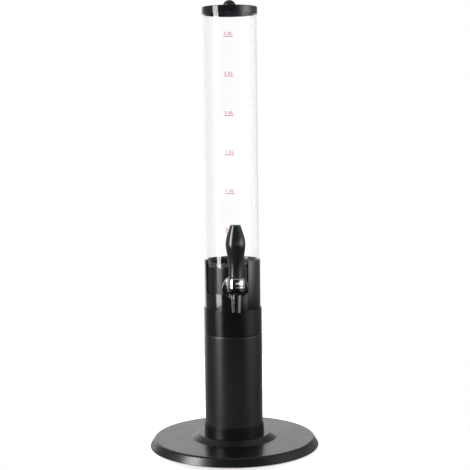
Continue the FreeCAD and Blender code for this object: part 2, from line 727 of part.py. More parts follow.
def tap_outer_gasket():
    """Rubber ring between the cup's boss and the flange."""
    return outward(ring(SHANK_R + FIT_GAP, BOSS_R, BOSS_FACE_D, FLANGE_BACK_D))


def tap_flange():
    """Dished chromed disc behind the tap body."""
    dish_d = FLANGE_FACE_D - FLANGE_DISH
    dish_out_r = FLANGE_R - FLANGE_RIM
    dish_in_r = BARREL_R + FLANGE_NECK
    return outward(turned(eased_wire([
        (SHANK_R + FIT_GAP, FLANGE_BACK_D, 0),
        (FLANGE_R, FLANGE_BACK_D, -FLANGE_BEVEL),
        (FLANGE_R, FLANGE_FACE_D, -FLANGE_BEVEL),
        (dish_out_r, FLANGE_FACE_D, 0),
        (dish_out_r - FLANGE_DISH, dish_d, 0),
        (dish_in_r, dish_d, 0),
        (dish_in_r - FLANGE_DISH / 2, FLANGE_FACE_D, 0),
        (SHANK_R + FIT_GAP, FLANGE_FACE_D, 0),
    ])))


def swing_space(radius, reach):
    """Space that a lever of one radius sweeps between shut and open, about its ball."""
    tilt = math.radians(HANDLE_TILT_DEG)
    far = reach / math.cos(tilt)
    shut = rod(radius, 0, reach)
    opened = rod(radius, 0, reach)
    opened.rotate(ORIGIN, ACROSS, HANDLE_TILT_DEG)
    fan = Part.Face(Part.makePolygon([
        Vec(-radius, 0, 0),
        Vec(-radius, 0, far),
        Vec(-radius, -far * math.sin(tilt), far * math.cos(tilt)),
        Vec(-radius, 0, 0),
    ])).extrude(Vec(2 * radius, 0, 0))
    space = shut.fuse([opened, fan])
    space.translate(Vec(0, 0, PIVOT_Z))
    return over_spout(space)


def tap_body():
    """Round body with spout, barrel and shank, and the passages and valve seat inside it."""
    root_z = BALL_Z - math.sqrt(BALL_R ** 2 - SPOUT_ROOT_R ** 2)
    half_way = (math.asin(SPOUT_ROOT_R / BALL_R) + math.pi / 2) / 2
    low_side = (BALL_R * math.sin(half_way), BALL_Z - BALL_R * math.cos(half_way))
    upright = over_spout(turned(path_wire(
        (0, SPOUT_Z),
        (SPOUT_R, SPOUT_Z),
        (SPOUT_ROOT_R, root_z),
        (low_side, (BALL_R, BALL_Z)),
        (BALL_R, BONNET_FOOT_Z),
        (NECK_R, BONNET_FOOT_Z),
        (NECK_R, NECK_TOP_Z),
        (0, NECK_TOP_Z),
    )))
    barrel = outward(rod(BARREL_R, FLANGE_FACE_D, TAP_D))
    shank = outward(rod(SHANK_R, SHANK_END_D, TAP_D))
    body = upright.fuse([barrel, shank])
    socket_z = PIVOT_Z - BALL_SOCKET_R / 2
    socket_r = at_height(BALL_SOCKET_R, PIVOT_Z, socket_z)
    socket = Part.makeSphere(BALL_SOCKET_R, Vec(0, -TAP_D, PIVOT_Z))
    socket = socket.cut(rod(BALL_R, 0, socket_z, 0, -TAP_D))
    hollows = [
        outward(rod(INLET_R, SHANK_END_D, VALVE_SEAT_D)),
        outward(rod(CHAMBER_R, VALVE_SEAT_D, CHAMBER_END_D)),
        outward(rod(PLUNGER_R + GUIDE_GAP, CHAMBER_END_D, GUIDE_END_D)),
        over_spout(rod(SPOUT_BORE_R, SPOUT_Z, TAP_Z - CHAMBER_R / 2)),
        over_spout(rod(socket_r, TAP_Z, socket_z)),
        socket,
        over_spout(rod(BUSH_R + FIT_GAP, BUSH_FOOT_Z, NECK_TOP_Z)),
        over_spout(ring(NECK_R, BALL_R + SMALL_GAP, BONNET_FOOT_Z, BONNET_EDGE_Z)),
    ]
    return body.cut(hollows).removeSplitter()


def tap_inner_gasket():
    """Rubber ring between the cup's inner pad and the nut."""
    return outward(ring(SHANK_R + FIT_GAP, PAD_R - GASKET_THICK, NUT_FACE_D, PAD_FACE_D))


def tap_nut():
    """Hexagon nut on the shank, inside the cup."""
    corner_r = NUT_FLATS / 2 / math.cos(math.radians(30))
    corners = [Vec(x, y, NUT_END_D) for x, y in round_ring(6, corner_r)]
    nut = Part.Face(Part.makePolygon(corners + corners[:1])).extrude(Vec(0, 0, NUT_THICK))
    chamfer = turned(eased_wire([
        (0, NUT_END_D, 0),
        (NUT_FLATS / 2, NUT_END_D, 0),
        (corner_r, NUT_END_D + (corner_r - NUT_FLATS / 2) / 2, 0),
        (corner_r, NUT_FACE_D, 0),
        (0, NUT_FACE_D, 0),
    ]))
    hole = rod(SHANK_R + FIT_GAP, NUT_END_D, NUT_FACE_D)
    return outward(nut.common(chamfer).cut(hole))


def tap_bonnet():
    """Chromed cap screwed on the neck: a cone with a domed top and a slot for the lever."""
    cap = turned(path_wire(
        (BONNET_BORE_R, BONNET_FOOT_Z),
        (BALL_R, BONNET_FOOT_Z),
        (BONNET_EDGE_R, BONNET_EDGE_Z),
        (dome_middle(DOME_R, PIVOT_Z, BONNET_EDGE_R), (0, PIVOT_Z + DOME_R)),
        (0, PIVOT_Z + DOME_R - BONNET_WALL),
        (BONNET_BORE_R, BUSH_TOP_Z + SMALL_GAP),
    ))
    return over_spout(cap).cut(swing_space(LEVER_STEM_R + RUN_GAP, 2 * DOME_R))


def lever_bush():
    """Acetal bush that holds the lever's ball down in its socket."""
    lip_z = PIVOT_Z + BUSH_LIP
    mid_z = (BUSH_FOOT_Z + lip_z) / 2
    lip_r = at_height(BALL_SOCKET_R, PIVOT_Z, lip_z)
    mid_r = at_height(BALL_SOCKET_R, PIVOT_Z, mid_z)
    foot_r = at_height(BALL_SOCKET_R, PIVOT_Z, BUSH_FOOT_Z)
    tilt = math.radians(HANDLE_TILT_DEG)
    mouth_r = (BUSH_TOP_Z - PIVOT_Z) * math.tan(tilt) + LEVER_STEM_R / math.cos(tilt) + SMALL_GAP
    return over_spout(turned(path_wire(
        (foot_r, BUSH_FOOT_Z),
        (BUSH_R, BUSH_FOOT_Z),
        (BUSH_R, NECK_TOP_Z),
        (NECK_R - FIT_GAP, NECK_TOP_Z),
        (NECK_R - FIT_GAP, BUSH_TOP_Z),
        (mouth_r, BUSH_TOP_Z),
        (lip_r, lip_z),
        ((mid_r, mid_z), (foot_r, BUSH_FOOT_Z)),
    )))


def plunger():
    """Valve rod with its head and the flat eye that the lever's tip sits in."""
    stem = outward(rod(PLUNGER_R, PLUNGER_HEAD_D - PLUNGER_HEAD, PLUNGER_END_D))
    head = outward(rod(PLUNGER_HEAD_R, PLUNGER_HEAD_D - PLUNGER_HEAD, PLUNGER_HEAD_D))
    eye = Part.makeBox(
        EYE_WIDTH, EYE_LENGTH, EYE_HEIGHT,
        Vec(-EYE_WIDTH / 2, -TAP_D - EYE_LENGTH / 2, TAP_Z - EYE_HEIGHT / 2))
    hole = over_spout(rod(LEVER_TIP_R + EYE_GAP, TAP_Z - EYE_HEIGHT, TAP_Z + EYE_HEIGHT))
    return stem.fuse([head, eye]).cut(hole).removeSplitter()


def plunger_washer():
    """Rubber washer that shuts the inlet."""
    return outward(ring(PLUNGER_R + GUIDE_GAP, WASHER_R, PLUNGER_HEAD_D, VALVE_SEAT_D))


def tap_lever():
    """Steel lever: tip in the plunger's eye, ball in its socket, stem up into the handle."""
    tip = Part.makeSphere(LEVER_TIP_R, Vec(0, 0, TAP_Z))
    low_rod = rod(LEVER_ROD_R, TAP_Z, PIVOT_Z)
    ball = Part.makeSphere(LEVER_BALL_R, Vec(0, 0, PIVOT_Z))
    stem = turned(eased_wire([
        (0, PIVOT_Z, 0),
        (LEVER_NECK_R, PIVOT_Z, 0),
        (LEVER_NECK_R, LEVER_NECK_Z, 0),
        (LEVER_STEM_R, LEVER_STEM_Z, 0),
        (LEVER_STEM_R, LEVER_TOP_Z, -LEVER_STEM_BEVEL),
        (0, LEVER_TOP_Z, 0),
    ]))
    return over_spout(tip.fuse([low_rod, ball, stem]).removeSplitter())


def handle_insert():
    """Brass bush moulded into the handle, which the lever screws into."""
    return over_spout(ring(LEVER_STEM_R + GUIDE_GAP, INSERT_R, INSERT_LOW_Z, INSERT_TOP_Z))


def tap_handle():
    """Black moulded handle: slim neck, full belly, flat crown and a foot hollowed over the bonnet."""
    places = [(HANDLE_FOOT_R, on_sphere(HANDLE_CAVITY_R, PIVOT_Z, HANDLE_FOOT_R))]
    for radius, rise in (
        (HANDLE_NECK_R, HANDLE_NECK_RISE),
        (HANDLE_SWELL_R, HANDLE_SWELL_RISE),
        (HANDLE_BELLY_R, HANDLE_BELLY_RISE),
        (HANDLE_SHOULDER_R, HANDLE_SHOULDER_RISE),
        (HANDLE_CROWN_R, HANDLE_CROWN_RISE),
    ):
        places.append((radius, places[-1][1] + rise))
    side = Part.BSplineCurve()
    side.interpolate([Vec(radius, 0, height) for radius, height in places])
    crown_z = places[-1][1]
    top_z = crown_z + HANDLE_CROWN_ROUND
    crown_middle = Vec(HANDLE_CROWN_R - HANDLE_CROWN_ROUND / 4, 0, top_z - HANDLE_CROWN_ROUND / 2)
    crown_end = Vec(HANDLE_CROWN_R - HANDLE_CROWN_ROUND, 0, top_z)
    cavity_top = Vec(0, 0, PIVOT_Z + HANDLE_CAVITY_R)
    cavity_r, cavity_z = dome_middle(HANDLE_CAVITY_R, PIVOT_Z, HANDLE_FOOT_R)
    foot_point = Vec(places[0][0], 0, places[0][1])
    profile = Part.Wire([
        Part.Arc(cavity_top, Vec(cavity_r, 0, cavity_z), foot_point).toShape(),
        side.toShape(),
        Part.Arc(Vec(HANDLE_CROWN_R, 0, crown_z), crown_middle, crown_end).toShape(),
        Part.LineSegment(crown_end, Vec(0, 0, top_z)).toShape(),
        Part.LineSegment(Vec(0, 0, top_z), cavity_top).toShape(),
    ])
    hollows = [
        rod(LEVER_STEM_R + FIT_GAP, PIVOT_Z, LEVER_TOP_Z),
        rod(INSERT_R + GUIDE_GAP, INSERT_LOW_Z, INSERT_TOP_Z),
    ]
    return over_spout(turned(profile).cut(hollows))


# ---------------------------------------------------------------- the tower

def all_pieces():
    """Every piece by its name, in the order of assembly."""
    pieces = {
        "base_shell": base_shell(),
        "ballast_plate": ballast_plate(),
        "bottom_cover": bottom_cover(),
        "cover_screws": cover_screws(),
    }
    for number in range(FEET):
        pieces["foot_%d" % (number + 1)] = foot(number)
    pieces.update({
        "column": column(),
        "column_screws": column_screws(),
        "sleeve": sleeve(),
        "collar": collar(),
        "slip_ring": slip_ring(),
        "tube_cup": tube_cup(),
        "cup_floor": cup_floor(),
        "cup_seal": cup_seal(),
        "clear_tube": clear_tube(),
        "tap_outer_gasket": tap_outer_gasket(),
        "tap_flange": tap_flange(),
        "tap_body": tap_body(),
        "tap_inner_gasket": tap_inner_gasket(),
        "tap_nut": tap_nut(),
        "plunger": plunger(),
        "plunger_washer": plunger_washer(),
        "tap_lever": tap_lever(),
        "lever_bush": lever_bush(),
        "tap_bonnet": tap_bonnet(),
        "handle_insert": handle_insert(),
        "tap_handle": tap_handle(),
        "lid_cap": lid_cap(),
        "lid_gasket": lid_gasket(),
        "lid_knob": lid_knob(),
        "lid_screw": lid_screw(),
    })
    return pieces


os.makedirs("parts", exist_ok=True)
for name, shape in all_pieces().items():
    shape.exportStep("parts/%s.step" % name)
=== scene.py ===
import bpy
import bmesh
import math
from mathutils import Matrix, Vector


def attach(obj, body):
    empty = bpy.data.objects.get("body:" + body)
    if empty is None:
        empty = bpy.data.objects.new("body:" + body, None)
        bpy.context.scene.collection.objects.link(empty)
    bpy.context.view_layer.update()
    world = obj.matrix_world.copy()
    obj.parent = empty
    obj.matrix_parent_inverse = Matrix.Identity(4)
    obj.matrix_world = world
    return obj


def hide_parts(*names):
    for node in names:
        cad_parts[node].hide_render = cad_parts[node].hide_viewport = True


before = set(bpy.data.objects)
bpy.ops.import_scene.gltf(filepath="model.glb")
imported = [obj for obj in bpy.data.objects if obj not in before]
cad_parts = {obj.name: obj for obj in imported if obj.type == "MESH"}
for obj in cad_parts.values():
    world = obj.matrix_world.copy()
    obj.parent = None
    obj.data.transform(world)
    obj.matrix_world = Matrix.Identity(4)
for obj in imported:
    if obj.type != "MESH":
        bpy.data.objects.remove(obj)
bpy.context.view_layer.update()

# ------------------------------------------------------------------ foot of the stand
# The foot is one injection moulding in black ABS: a thin bevelled disc with a raised hub and the
# ring that the column is screwed into. The tool's face is spark eroded, so it is an even satin,
# with faint patches of more and less gloss.

MM = 0.001


def linear(code):
    """A colour written as sRGB hex, as the linear red, green, blue and alpha that shaders take."""
    values = []
    for i in (1, 3, 5):
        c = int(code[i:i + 2], 16) / 255
        values.append(c / 12.92 if c <= 0.04045 else ((c + 0.055) / 1.055) ** 2.4)
    return (*values, 1.0)


def add(tree, kind, inputs=None, out=0, **settings):
    """Add one shader node and give back one of its outputs.

    Each input takes a value or another node's output; settings are the node's own choices.
    """
    node = tree.nodes.new("ShaderNode" + kind)
    for key, value in settings.items():
        setattr(node, key, value)
    for key, value in (inputs or {}).items():
        if isinstance(value, bpy.types.NodeSocket):
            tree.links.new(value, node.inputs[key])
        else:
            node.inputs[key].default_value = value
    return node.outputs[out] if node.outputs else None


def new_material(name):
    """An empty node material and its tree."""
    material = bpy.data.materials.new(name)
    material.use_nodes = True
    material.node_tree.nodes.clear()
    return material, material.node_tree


# nearly all values of a noise lie between these, so they are what is spread over a range
NOISE_SPAN = {"From Min": 0.3, "From Max": 0.7}
# how large the blotches of uneven gloss and the touched spots on a moulding are
BLOTCH_MM = 38
TOUCHED_MM = 7
ABS_IOR = 1.53


def moulded_plastic(name, dark, light, roughness, unevenness, grain_mm, grain_depth_mm, draw=1.0,
                    sheen=0.5):
    """Moulded plastic: a grain from the tool, soft patches of more and less gloss, a drift of tone.

    A draw below 1 stretches the grain upright, and sheen is the strength of the reflection.
    """
    material, tree = new_material(name)
    here = add(tree, "TexCoord", out="Object")
    drawn = add(tree, "Mapping", {"Vector": here, "Scale": (1, 1, draw)})
    blotches = add(tree, "TexNoise", {"Vector": here, "Scale": 1 / (BLOTCH_MM * MM), "Detail": 3.0})
    touched = add(tree, "TexNoise", {"Vector": here, "Scale": 1 / (TOUCHED_MM * MM), "Detail": 4.0})
    grain = add(tree, "TexNoise", {"Vector": drawn, "Scale": 1 / (grain_mm * MM), "Detail": 2.0})
    gloss = add(tree, "MapRange", {
        "Value": blotches, **NOISE_SPAN,
        "To Min": roughness - unevenness, "To Max": roughness + unevenness})
    smudges = add(tree, "MapRange", {
        "Value": touched, **NOISE_SPAN, "To Min": -unevenness / 3, "To Max": unevenness / 3})
    surface = add(tree, "BsdfPrincipled", {
        "Base Color": add(tree, "Mix", {
            "Factor": blotches, 6: linear(dark), 7: linear(light)}, 2, data_type="RGBA"),
        "Roughness": add(tree, "Math", {0: gloss, 1: smudges}, operation="ADD"),
        "IOR": ABS_IOR, "Specular IOR Level": sheen,
        "Normal": add(tree, "Bump", {
            "Height": grain, "Distance": grain_depth_mm * MM, "Strength": 1.0})})
    add(tree, "OutputMaterial", {"Surface": surface})
    return material


def eased(corners, steps=6, hold=0.35, spare=2):
    """Closed outline in mm through (r, z, easing) corners, with round easings and holding points.

    The holding points next to each corner keep the shading of long faces flat up to the easing. A
    face too short for two of them, with the spare length in between, goes without.
    """
    count = len(corners)
    points = []
    for i, (r, z, easing) in enumerate(corners):
        here = Vector((r, z))
        back = Vector(corners[i - 1][:2]) - here
        ahead = Vector(corners[(i + 1) % count][:2]) - here
        half = back.angle(ahead) / 2
        reach = easing / math.tan(half) if easing else 0
        needed = 2 * (reach + hold) + spare
        hold_back = back.length > needed
        hold_ahead = ahead.length > needed
        back.normalize()
        ahead.normalize()
        if hold_back:
            points.append(here + back * (reach + hold))
        if easing:
            inward = (back + ahead).normalized()
            centre = here + inward * (easing / math.sin(half))
            start = here + back * reach - centre
            end = here + ahead * reach - centre
            sweep = start.angle_signed(end)
            for k in range(steps + 1):
                turn = Matrix.Rotation(-sweep * k / steps, 2)
                points.append(centre + turn @ start)
        else:
            points.append(here)
        if hold_ahead:
            points.append(here + ahead * (reach + hold))
    return [(p.x, p.y) for p in points]


def upright(x=0.0, y=0.0):
    """Placing of a turned shape about an upright axis, mm to metres."""
    return lambda r, c, s, h: Vector((x + r * c, y + r * s, h)) * MM


def circle(sides):
    """Cosine and sine of each corner of an even ring."""
    steps = [2 * math.pi * k / sides for k in range(sides)]
    return [(math.cos(a), math.sin(a)) for a in steps]


def shown(name, mesh):
    """Set a finished mesh up in the scene as an object."""
    data = bpy.data.meshes.new(name)
    mesh.to_mesh(data)
    mesh.free()
    piece = bpy.data.objects.new(name, data)
    bpy.context.scene.collection.objects.link(piece)
    return piece


def turned(name, outline, sides, place):
    """A solid of revolution from a closed outline of (r, height) points in mm."""
    mesh = bmesh.new()
    on_axis = 1e-6
    rings = []
    for r, h in outline:
        if r < on_axis:
            rings.append([mesh.verts.new(place(0, 1, 0, h))] * sides)
        else:
            rings.append([mesh.verts.new(place(r, c, s, h)) for c, s in circle(sides)])
    for i, ring in enumerate(rings):
        after = rings[(i + 1) % len(rings)]
        for k in range(sides):
            j = (k + 1) % sides
            corners = []
            for vert in (ring[k], ring[j], after[j], after[k]):
                if vert not in corners:
                    corners.append(vert)
            if len(corners) > 2:
                mesh.faces.new(corners)
    bmesh.ops.recalc_face_normals(mesh, faces=mesh.faces)
    return shown(name, mesh)


def joined(piece, *others):
    """Put other meshes into a piece, as further parts of the same body."""
    mesh = bmesh.new()
    mesh.from_mesh(piece.data)
    for other in others:
        mesh.from_mesh(other.data)
        bpy.data.objects.remove(other)
    mesh.to_mesh(piece.data)
    mesh.free()
    return piece


def screw_bosses(count, first_deg, ring_r, low, high, bore_r=1.6, post_r=5.0):
    """Hollow posts for self-tapping screws, evenly spaced on a ring, in mm."""
    post = [(bore_r, low), (post_r, low), (post_r, high), (bore_r, high)]
    turns = [math.radians(first_deg + 360 * k / count) for k in range(count)]
    return [turned("boss", post, 32, upright(ring_r * math.cos(a), ring_r * math.sin(a)))
            for a in turns]


def dressed(piece, body, material, slot, *nodes, crease_deg=32):
    """Smooth a finished piece, give it its material and set it on its body in its nodes' place."""
    piece.data.shade_smooth()
    piece.data.set_sharp_from_angle(angle=math.radians(crease_deg))
    piece.data.materials.clear()
    piece.data.materials.append(material)
    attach(piece, body)
    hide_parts(*nodes)
    return piece


# Spark-eroded black ABS: reads as an even dark satin whose highlights are soft bands.
black_abs_satin = moulded_plastic(
    "black_abs_spark_eroded", "#0f0f11", "#121214", roughness=0.27, unevenness=0.02,
    grain_mm=0.25, grain_depth_mm=0.001, sheen=0.56)

foot_plate = turned("stand_foot", eased([
    (40.15, 15.2, 0), (40.15, 18.2, 0.4), (54.15, 18.2, 0), (54.15, 43.3, 0.3), (55.9, 43.3, 0.6),
    (55.9, 29.5, 0.3), (56.6, 28.8, 0.3), (56.6, 24.2, 0.7), (66.2, 24.2, 3.0), (80.6, 16.2, 3.0),
    (150.2, 16.2, 5.9), (158.8, 1.2, 0.4), (155.8, 1.2, 0.4), (147.2, 13.2, 1.0), (82.1, 13.2, 1.0),
    (66.2, 21.2, 1.0), (58.1, 21.2, 0.8), (58.1, 15.2, 0.4)], 10), 256, upright())
joined(foot_plate, *screw_bosses(6, first_deg=30, ring_r=135.5, low=5.5, high=14.7))
dressed(foot_plate, "stand", black_abs_satin, "black_abs", "base_shell")

# The socket above the hub gets a darker, less reflective copy of the foot's black: painted shade, a
# quiet dark band at the column's foot.
black_abs_painted_shade = moulded_plastic(
    "black_abs_spark_eroded_painted_shade", "#0a0a0b", "#0d0d0e", roughness=0.28, unevenness=0.02,
    grain_mm=0.25, grain_depth_mm=0.0015, sheen=0.2)
SOCKET_FROM_Z = 24.5
foot_plate.data.materials.append(black_abs_painted_shade)
for face in foot_plate.data.polygons:
    if face.center.z > SOCKET_FROM_Z * MM:
        face.material_index = 1

# ------------------------------------------------------------------ under the foot
# The cover is a flat ABS plate with a coarser grain, held by six zinc-plated screws over a steel
# ring that was cut from hot-rolled plate. Six die-cut rubber pads are stuck to it.


def metal(name, dark, light, roughness, unevenness, mark_mm, mark_depth_mm, stretch=(1, 1, 1),
          patch_mm=12):
    """Metal with tool marks, patches of more and less polish and a drift of tone."""
    material, tree = new_material(name)
    here = add(tree, "TexCoord", out="Object")
    along = add(tree, "Mapping", {"Vector": here, "Scale": stretch})
    patches = add(tree, "TexNoise", {"Vector": here, "Scale": 1 / (patch_mm * MM), "Detail": 3.0})
    marks = add(tree, "TexNoise", {"Vector": along, "Scale": 1 / (mark_mm * MM), "Detail": 2.0})
    surface = add(tree, "BsdfPrincipled", {
        "Base Color": add(tree, "Mix", {
            "Factor": patches, 6: linear(dark), 7: linear(light)}, 2, data_type="RGBA"),
        "Metallic": 1.0,
        "Roughness": add(tree, "MapRange", {
            "Value": patches, **NOISE_SPAN,
            "To Min": roughness - unevenness, "To Max": roughness + unevenness}),
        "Normal": add(tree, "Bump", {
            "Height": marks, "Distance": mark_depth_mm * MM, "Strength": 1.0})})
    add(tree, "OutputMaterial", {"Surface": surface})
    return material


def soft_solid(name, dark, light, roughness, grain_mm, grain_depth_mm, ior, subsurface=0.0,
               patch_mm=9):
    """Rubber or acetal: a dull grain, with some light let in below the surface if asked."""
    material, tree = new_material(name)
    here = add(tree, "TexCoord", out="Object")
    patches = add(tree, "TexNoise", {"Vector": here, "Scale": 1 / (patch_mm * MM), "Detail": 3.0})
    grain = add(tree, "TexNoise", {"Vector": here, "Scale": 1 / (grain_mm * MM), "Detail": 3.0})
    surface = add(tree, "BsdfPrincipled", {
        "Base Color": add(tree, "Mix", {
            "Factor": patches, 6: linear(dark), 7: linear(light)}, 2, data_type="RGBA"),
        "Roughness": add(tree, "MapRange", {
            "Value": patches, **NOISE_SPAN,
            "To Min": roughness - 0.06, "To Max": roughness + 0.06}),
        "IOR": ior, "Subsurface Weight": subsurface, "Subsurface Scale": 2 * MM,
        "Normal": add(tree, "Bump", {
            "Height": grain, "Distance": grain_depth_mm * MM, "Strength": 1.0})})
    add(tree, "OutputMaterial", {"Surface": surface})
    return material


def carried(material, *nodes):
    """Give CAD nodes that are shown as they are their material."""
    for node in nodes:
        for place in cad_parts[node].material_slots:
            place.material = material


# Coarser spark-eroded ABS: the hidden cover is duller and greyer than the faces that show.
black_abs_cover = moulded_plastic(
    "black_abs_coarse", "#18181a", "#1e1e20", roughness=0.45, unevenness=0.05,
    grain_mm=0.5, grain_depth_mm=0.012)
# Bright zinc plating: light grey with a slight yellow drift between dull and bright crystals.
zinc_plated = metal(
    "zinc_plated_steel", "#8f8d86", "#b9b7ae", roughness=0.32, unevenness=0.08,
    mark_mm=0.2, mark_depth_mm=0.002)
# Hot-rolled plate: blue-grey mill scale with dull patches.
mill_scale = metal(
    "hot_rolled_steel", "#3b3e42", "#575654", roughness=0.55, unevenness=0.12,
    mark_mm=1.2, mark_depth_mm=0.02, patch_mm=22)
# Die-cut rubber: matt, nearly black, with the fine tooth of the sheet.
rubber_sheet = soft_solid(
    "black_nitrile_rubber", "#141414", "#1e1d1c", roughness=0.72,
    grain_mm=0.35, grain_depth_mm=0.02, ior=1.52)
carried(black_abs_cover, "bottom_cover")
carried(zinc_plated, "cover_screws", "column_screws")
carried(mill_scale, "ballast_plate")
carried(rubber_sheet, "foot_1", "foot_2", "foot_3", "foot_4", "foot_5", "foot_6")

# ------------------------------------------------------------------ column and sleeve
# The column is a moulded ABS tube with a rounded shoulder. It was drawn off a long core, so its
# satin has faint upright streaks. The sleeve is pressed onto it and is moulded in the same black.

# Drawn satin ABS: streaks along the tube break up the edges of its long highlight.
black_abs_drawn = moulded_plastic(
    "black_abs_long_draw", "#151517", "#19191b", roughness=0.32, unevenness=0.025,
    grain_mm=0.3, grain_depth_mm=0.002, draw=0.04, sheen=0.3)

column = turned("stand_column", eased([
    (40.15, 18.2, 0), (54.0, 18.2, 0.4), (54.0, 210.6, 0), (53.9, 211.7, 0), (53.65, 212.8, 0),
    (53.25, 213.8, 0), (52.5, 215, 0.2), (51.0, 215, 0.4), (51.0, 22.2, 0.4),
    (40.15, 22.2, 0.4)]), 256, upright())
joined(column, *screw_bosses(4, first_deg=45, ring_r=46.5, low=21.2, high=36.2))
dressed(column, "stand", black_abs_drawn, "black_abs", "column")

# Satin ABS of the short sleeve: a shorter draw than the column, so no streaks and a crisper edge.
black_abs_sleeve = moulded_plastic(
    "black_abs_short_draw", "#0f0f10", "#121213", roughness=0.2, unevenness=0.02,
    grain_mm=0.25, grain_depth_mm=0.0012, sheen=0.24)

sleeve = turned("stand_sleeve", eased([
    (48.05, 193, 0.3), (50.85, 193, 0.4), (50.85, 215, 0), (54.1, 215, 0.35), (54.1, 262.5, 0.6),
    (52.25, 262.5, 0.3), (52.25, 242, 0), (44.0, 242, 0.4), (44.0, 238, 0.4), (50.85, 238, 0),
    (50.85, 220.6, 0), (48.05, 217.8, 0)]), 256, upright())
dressed(sleeve, "stand", black_abs_sleeve, "black_abs", "sleeve")

# ------------------------------------------------------------------ collar
# The collar is a thin tube of glossier ABS, glued into the sleeve's mouth round the container and
# cut away in front so that the tap can swing. The cut's corners are rounded, its edges broken.

# Polished ABS: the tool was lapped, so it shows the studio as a dark mirror with soft ripples.
black_abs_polished = moulded_plastic(
    "black_abs_lapped", "#101011", "#121214", roughness=0.13, unevenness=0.02,
    grain_mm=1.8, grain_depth_mm=0.0015, draw=0.3, sheen=0.45)

# the cut spans twice this many degrees round its middle, which lies to the left of the tap
OPEN_HALF = 50.5
OPEN_MIDDLE = -111.5
# the two skins' radii, the levels of foot, cut and rim, and the rounding of the cut's corners
COLLAR_OUT = 52.1
COLLAR_IN = 50.4
COLLAR_LOW = 242.0
CUT_Z = 292.7
COLLAR_HIGH = 352.8
LOW_ROUND = 6.5
TOP_ROUND = 4.5


def cut_top(along):
    """Height of the collar at a distance in mm from the cut's side: negative is inside the cut."""
    if along < 0:
        over = max(0.0, LOW_ROUND + along)
        return CUT_Z + LOW_ROUND - math.sqrt(max(0.0, LOW_ROUND ** 2 - over ** 2))
    over = max(0.0, TOP_ROUND - along)
    return COLLAR_HIGH - TOP_ROUND + math.sqrt(max(0.0, TOP_ROUND ** 2 - over ** 2))


def collar_stations():
    """(angle in degrees from the cut's middle, top height, is outside the cut) going round once."""
    per_mm = math.degrees(1 / COLLAR_OUT)
    inside = []
    outside = []
    for k in range(10):
        s = LOW_ROUND * (1 - math.sin(math.pi / 2 * k / 9))
        inside.append((OPEN_HALF - s * per_mm, cut_top(-s)))
    for k in range(10):
        s = TOP_ROUND * (1 - math.cos(math.pi / 2 * k / 9))
        outside.append((OPEN_HALF + s * per_mm, cut_top(s)))
    flat_half = inside[0][0]
    across = [(flat_half * (2 * k / 48 - 1), CUT_Z) for k in range(1, 48)]
    far = outside[-1][0]
    round_back = [(far + (360 - 2 * far) * k / 120, COLLAR_HIGH) for k in range(1, 120)]
    low_side = [(-a, z) for a, z in reversed(inside)]
    return (
        [(a, z, False) for a, z in low_side + across + inside]
        + [(a, z, True) for a, z in outside + round_back]
        + [(360 - a, z, True) for a, z in reversed(outside)])


def cut_away_tube(name):
    """The collar's two skins, its rim and its foot."""
    mesh = bmesh.new()
    made = {}

    def vert(angle, radius, z):
        key = (round(angle % 360, 4), radius, round(z, 4))
        if key not in made:
            a = math.radians(angle + OPEN_MIDDLE)
            made[key] = mesh.verts.new(Vector((radius * math.cos(a), radius * math.sin(a), z)) * MM)
        return made[key]

    def face(corners):
        corners = list(dict.fromkeys(corners))
        if len(corners) > 2:
            mesh.faces.new(corners)

    stations = collar_stations()
    side_z = CUT_Z + LOW_ROUND
    for i, (a, top, out) in enumerate(stations):
        b, next_top, next_out = stations[(i + 1) % len(stations)]
        if out != next_out:
            face([vert(a, COLLAR_OUT, top), vert(a, COLLAR_IN, top),
                  vert(b, COLLAR_IN, next_top), vert(b, COLLAR_OUT, next_top)])
            continue
        face([vert(a, COLLAR_OUT, top), vert(a, COLLAR_IN, top),
              vert(b, COLLAR_IN, next_top), vert(b, COLLAR_OUT, next_top)])
        face([vert(a, COLLAR_OUT, COLLAR_LOW), vert(b, COLLAR_OUT, COLLAR_LOW),
              vert(b, COLLAR_IN, COLLAR_LOW), vert(a, COLLAR_IN, COLLAR_LOW)])
        for radius in (COLLAR_OUT, COLLAR_IN):
            if out:
                face([vert(a, radius, COLLAR_LOW), vert(b, radius, COLLAR_LOW),
                      vert(b, radius, side_z), vert(a, radius, side_z)])
                face([vert(a, radius, side_z), vert(b, radius, side_z),
                      vert(b, radius, next_top), vert(a, radius, top)])
            else:
                face([vert(a, radius, COLLAR_LOW), vert(b, radius, COLLAR_LOW),
                      vert(b, radius, next_top), vert(a, radius, top)])
    bmesh.ops.remove_doubles(mesh, verts=mesh.verts, dist=1e-6)
    bmesh.ops.recalc_face_normals(mesh, faces=mesh.faces)
    return shown(name, mesh)


def settled(piece, kind, **settings):
    """Run one modifier on a piece and keep its result as the piece's mesh."""
    step = piece.modifiers.new(kind, kind)
    for key, value in settings.items():
        setattr(step, key, value)
    graph = bpy.context.evaluated_depsgraph_get()
    data = bpy.data.meshes.new_from_object(piece.evaluated_get(graph))
    piece.modifiers.clear()
    piece.data = data
    return piece


collar = cut_away_tube("stand_collar")
settled(collar, "BEVEL", width=0.28 * MM, segments=3, limit_method="ANGLE",
        angle_limit=math.radians(60))
dressed(collar, "stand", black_abs_polished, "black_abs", "collar")

# ------------------------------------------------------------------ slip ring
# A cream acetal ring lies loose on the sleeve's ledge, and the container turns on it. The valve's
# plunger and the bush of the lever's ball are turned from bar of the same acetal.

# Turned acetal: waxy and slightly translucent, with a fine grain from the lathe.
acetal = soft_solid(
    "acetal_turned", "#dcd8cc", "#e6e3d9", roughness=0.38,
    grain_mm=0.15, grain_depth_mm=0.003, ior=1.48, subsurface=0.15)
carried(acetal, "slip_ring", "plunger", "lever_bush")

# ------------------------------------------------------------------ cup
# The cup under the clear tube is moulded in satin black ABS. A boss carries the tap's flange, and
# the clear tube slides over the spigot at its top, where a rubber ring seals it.

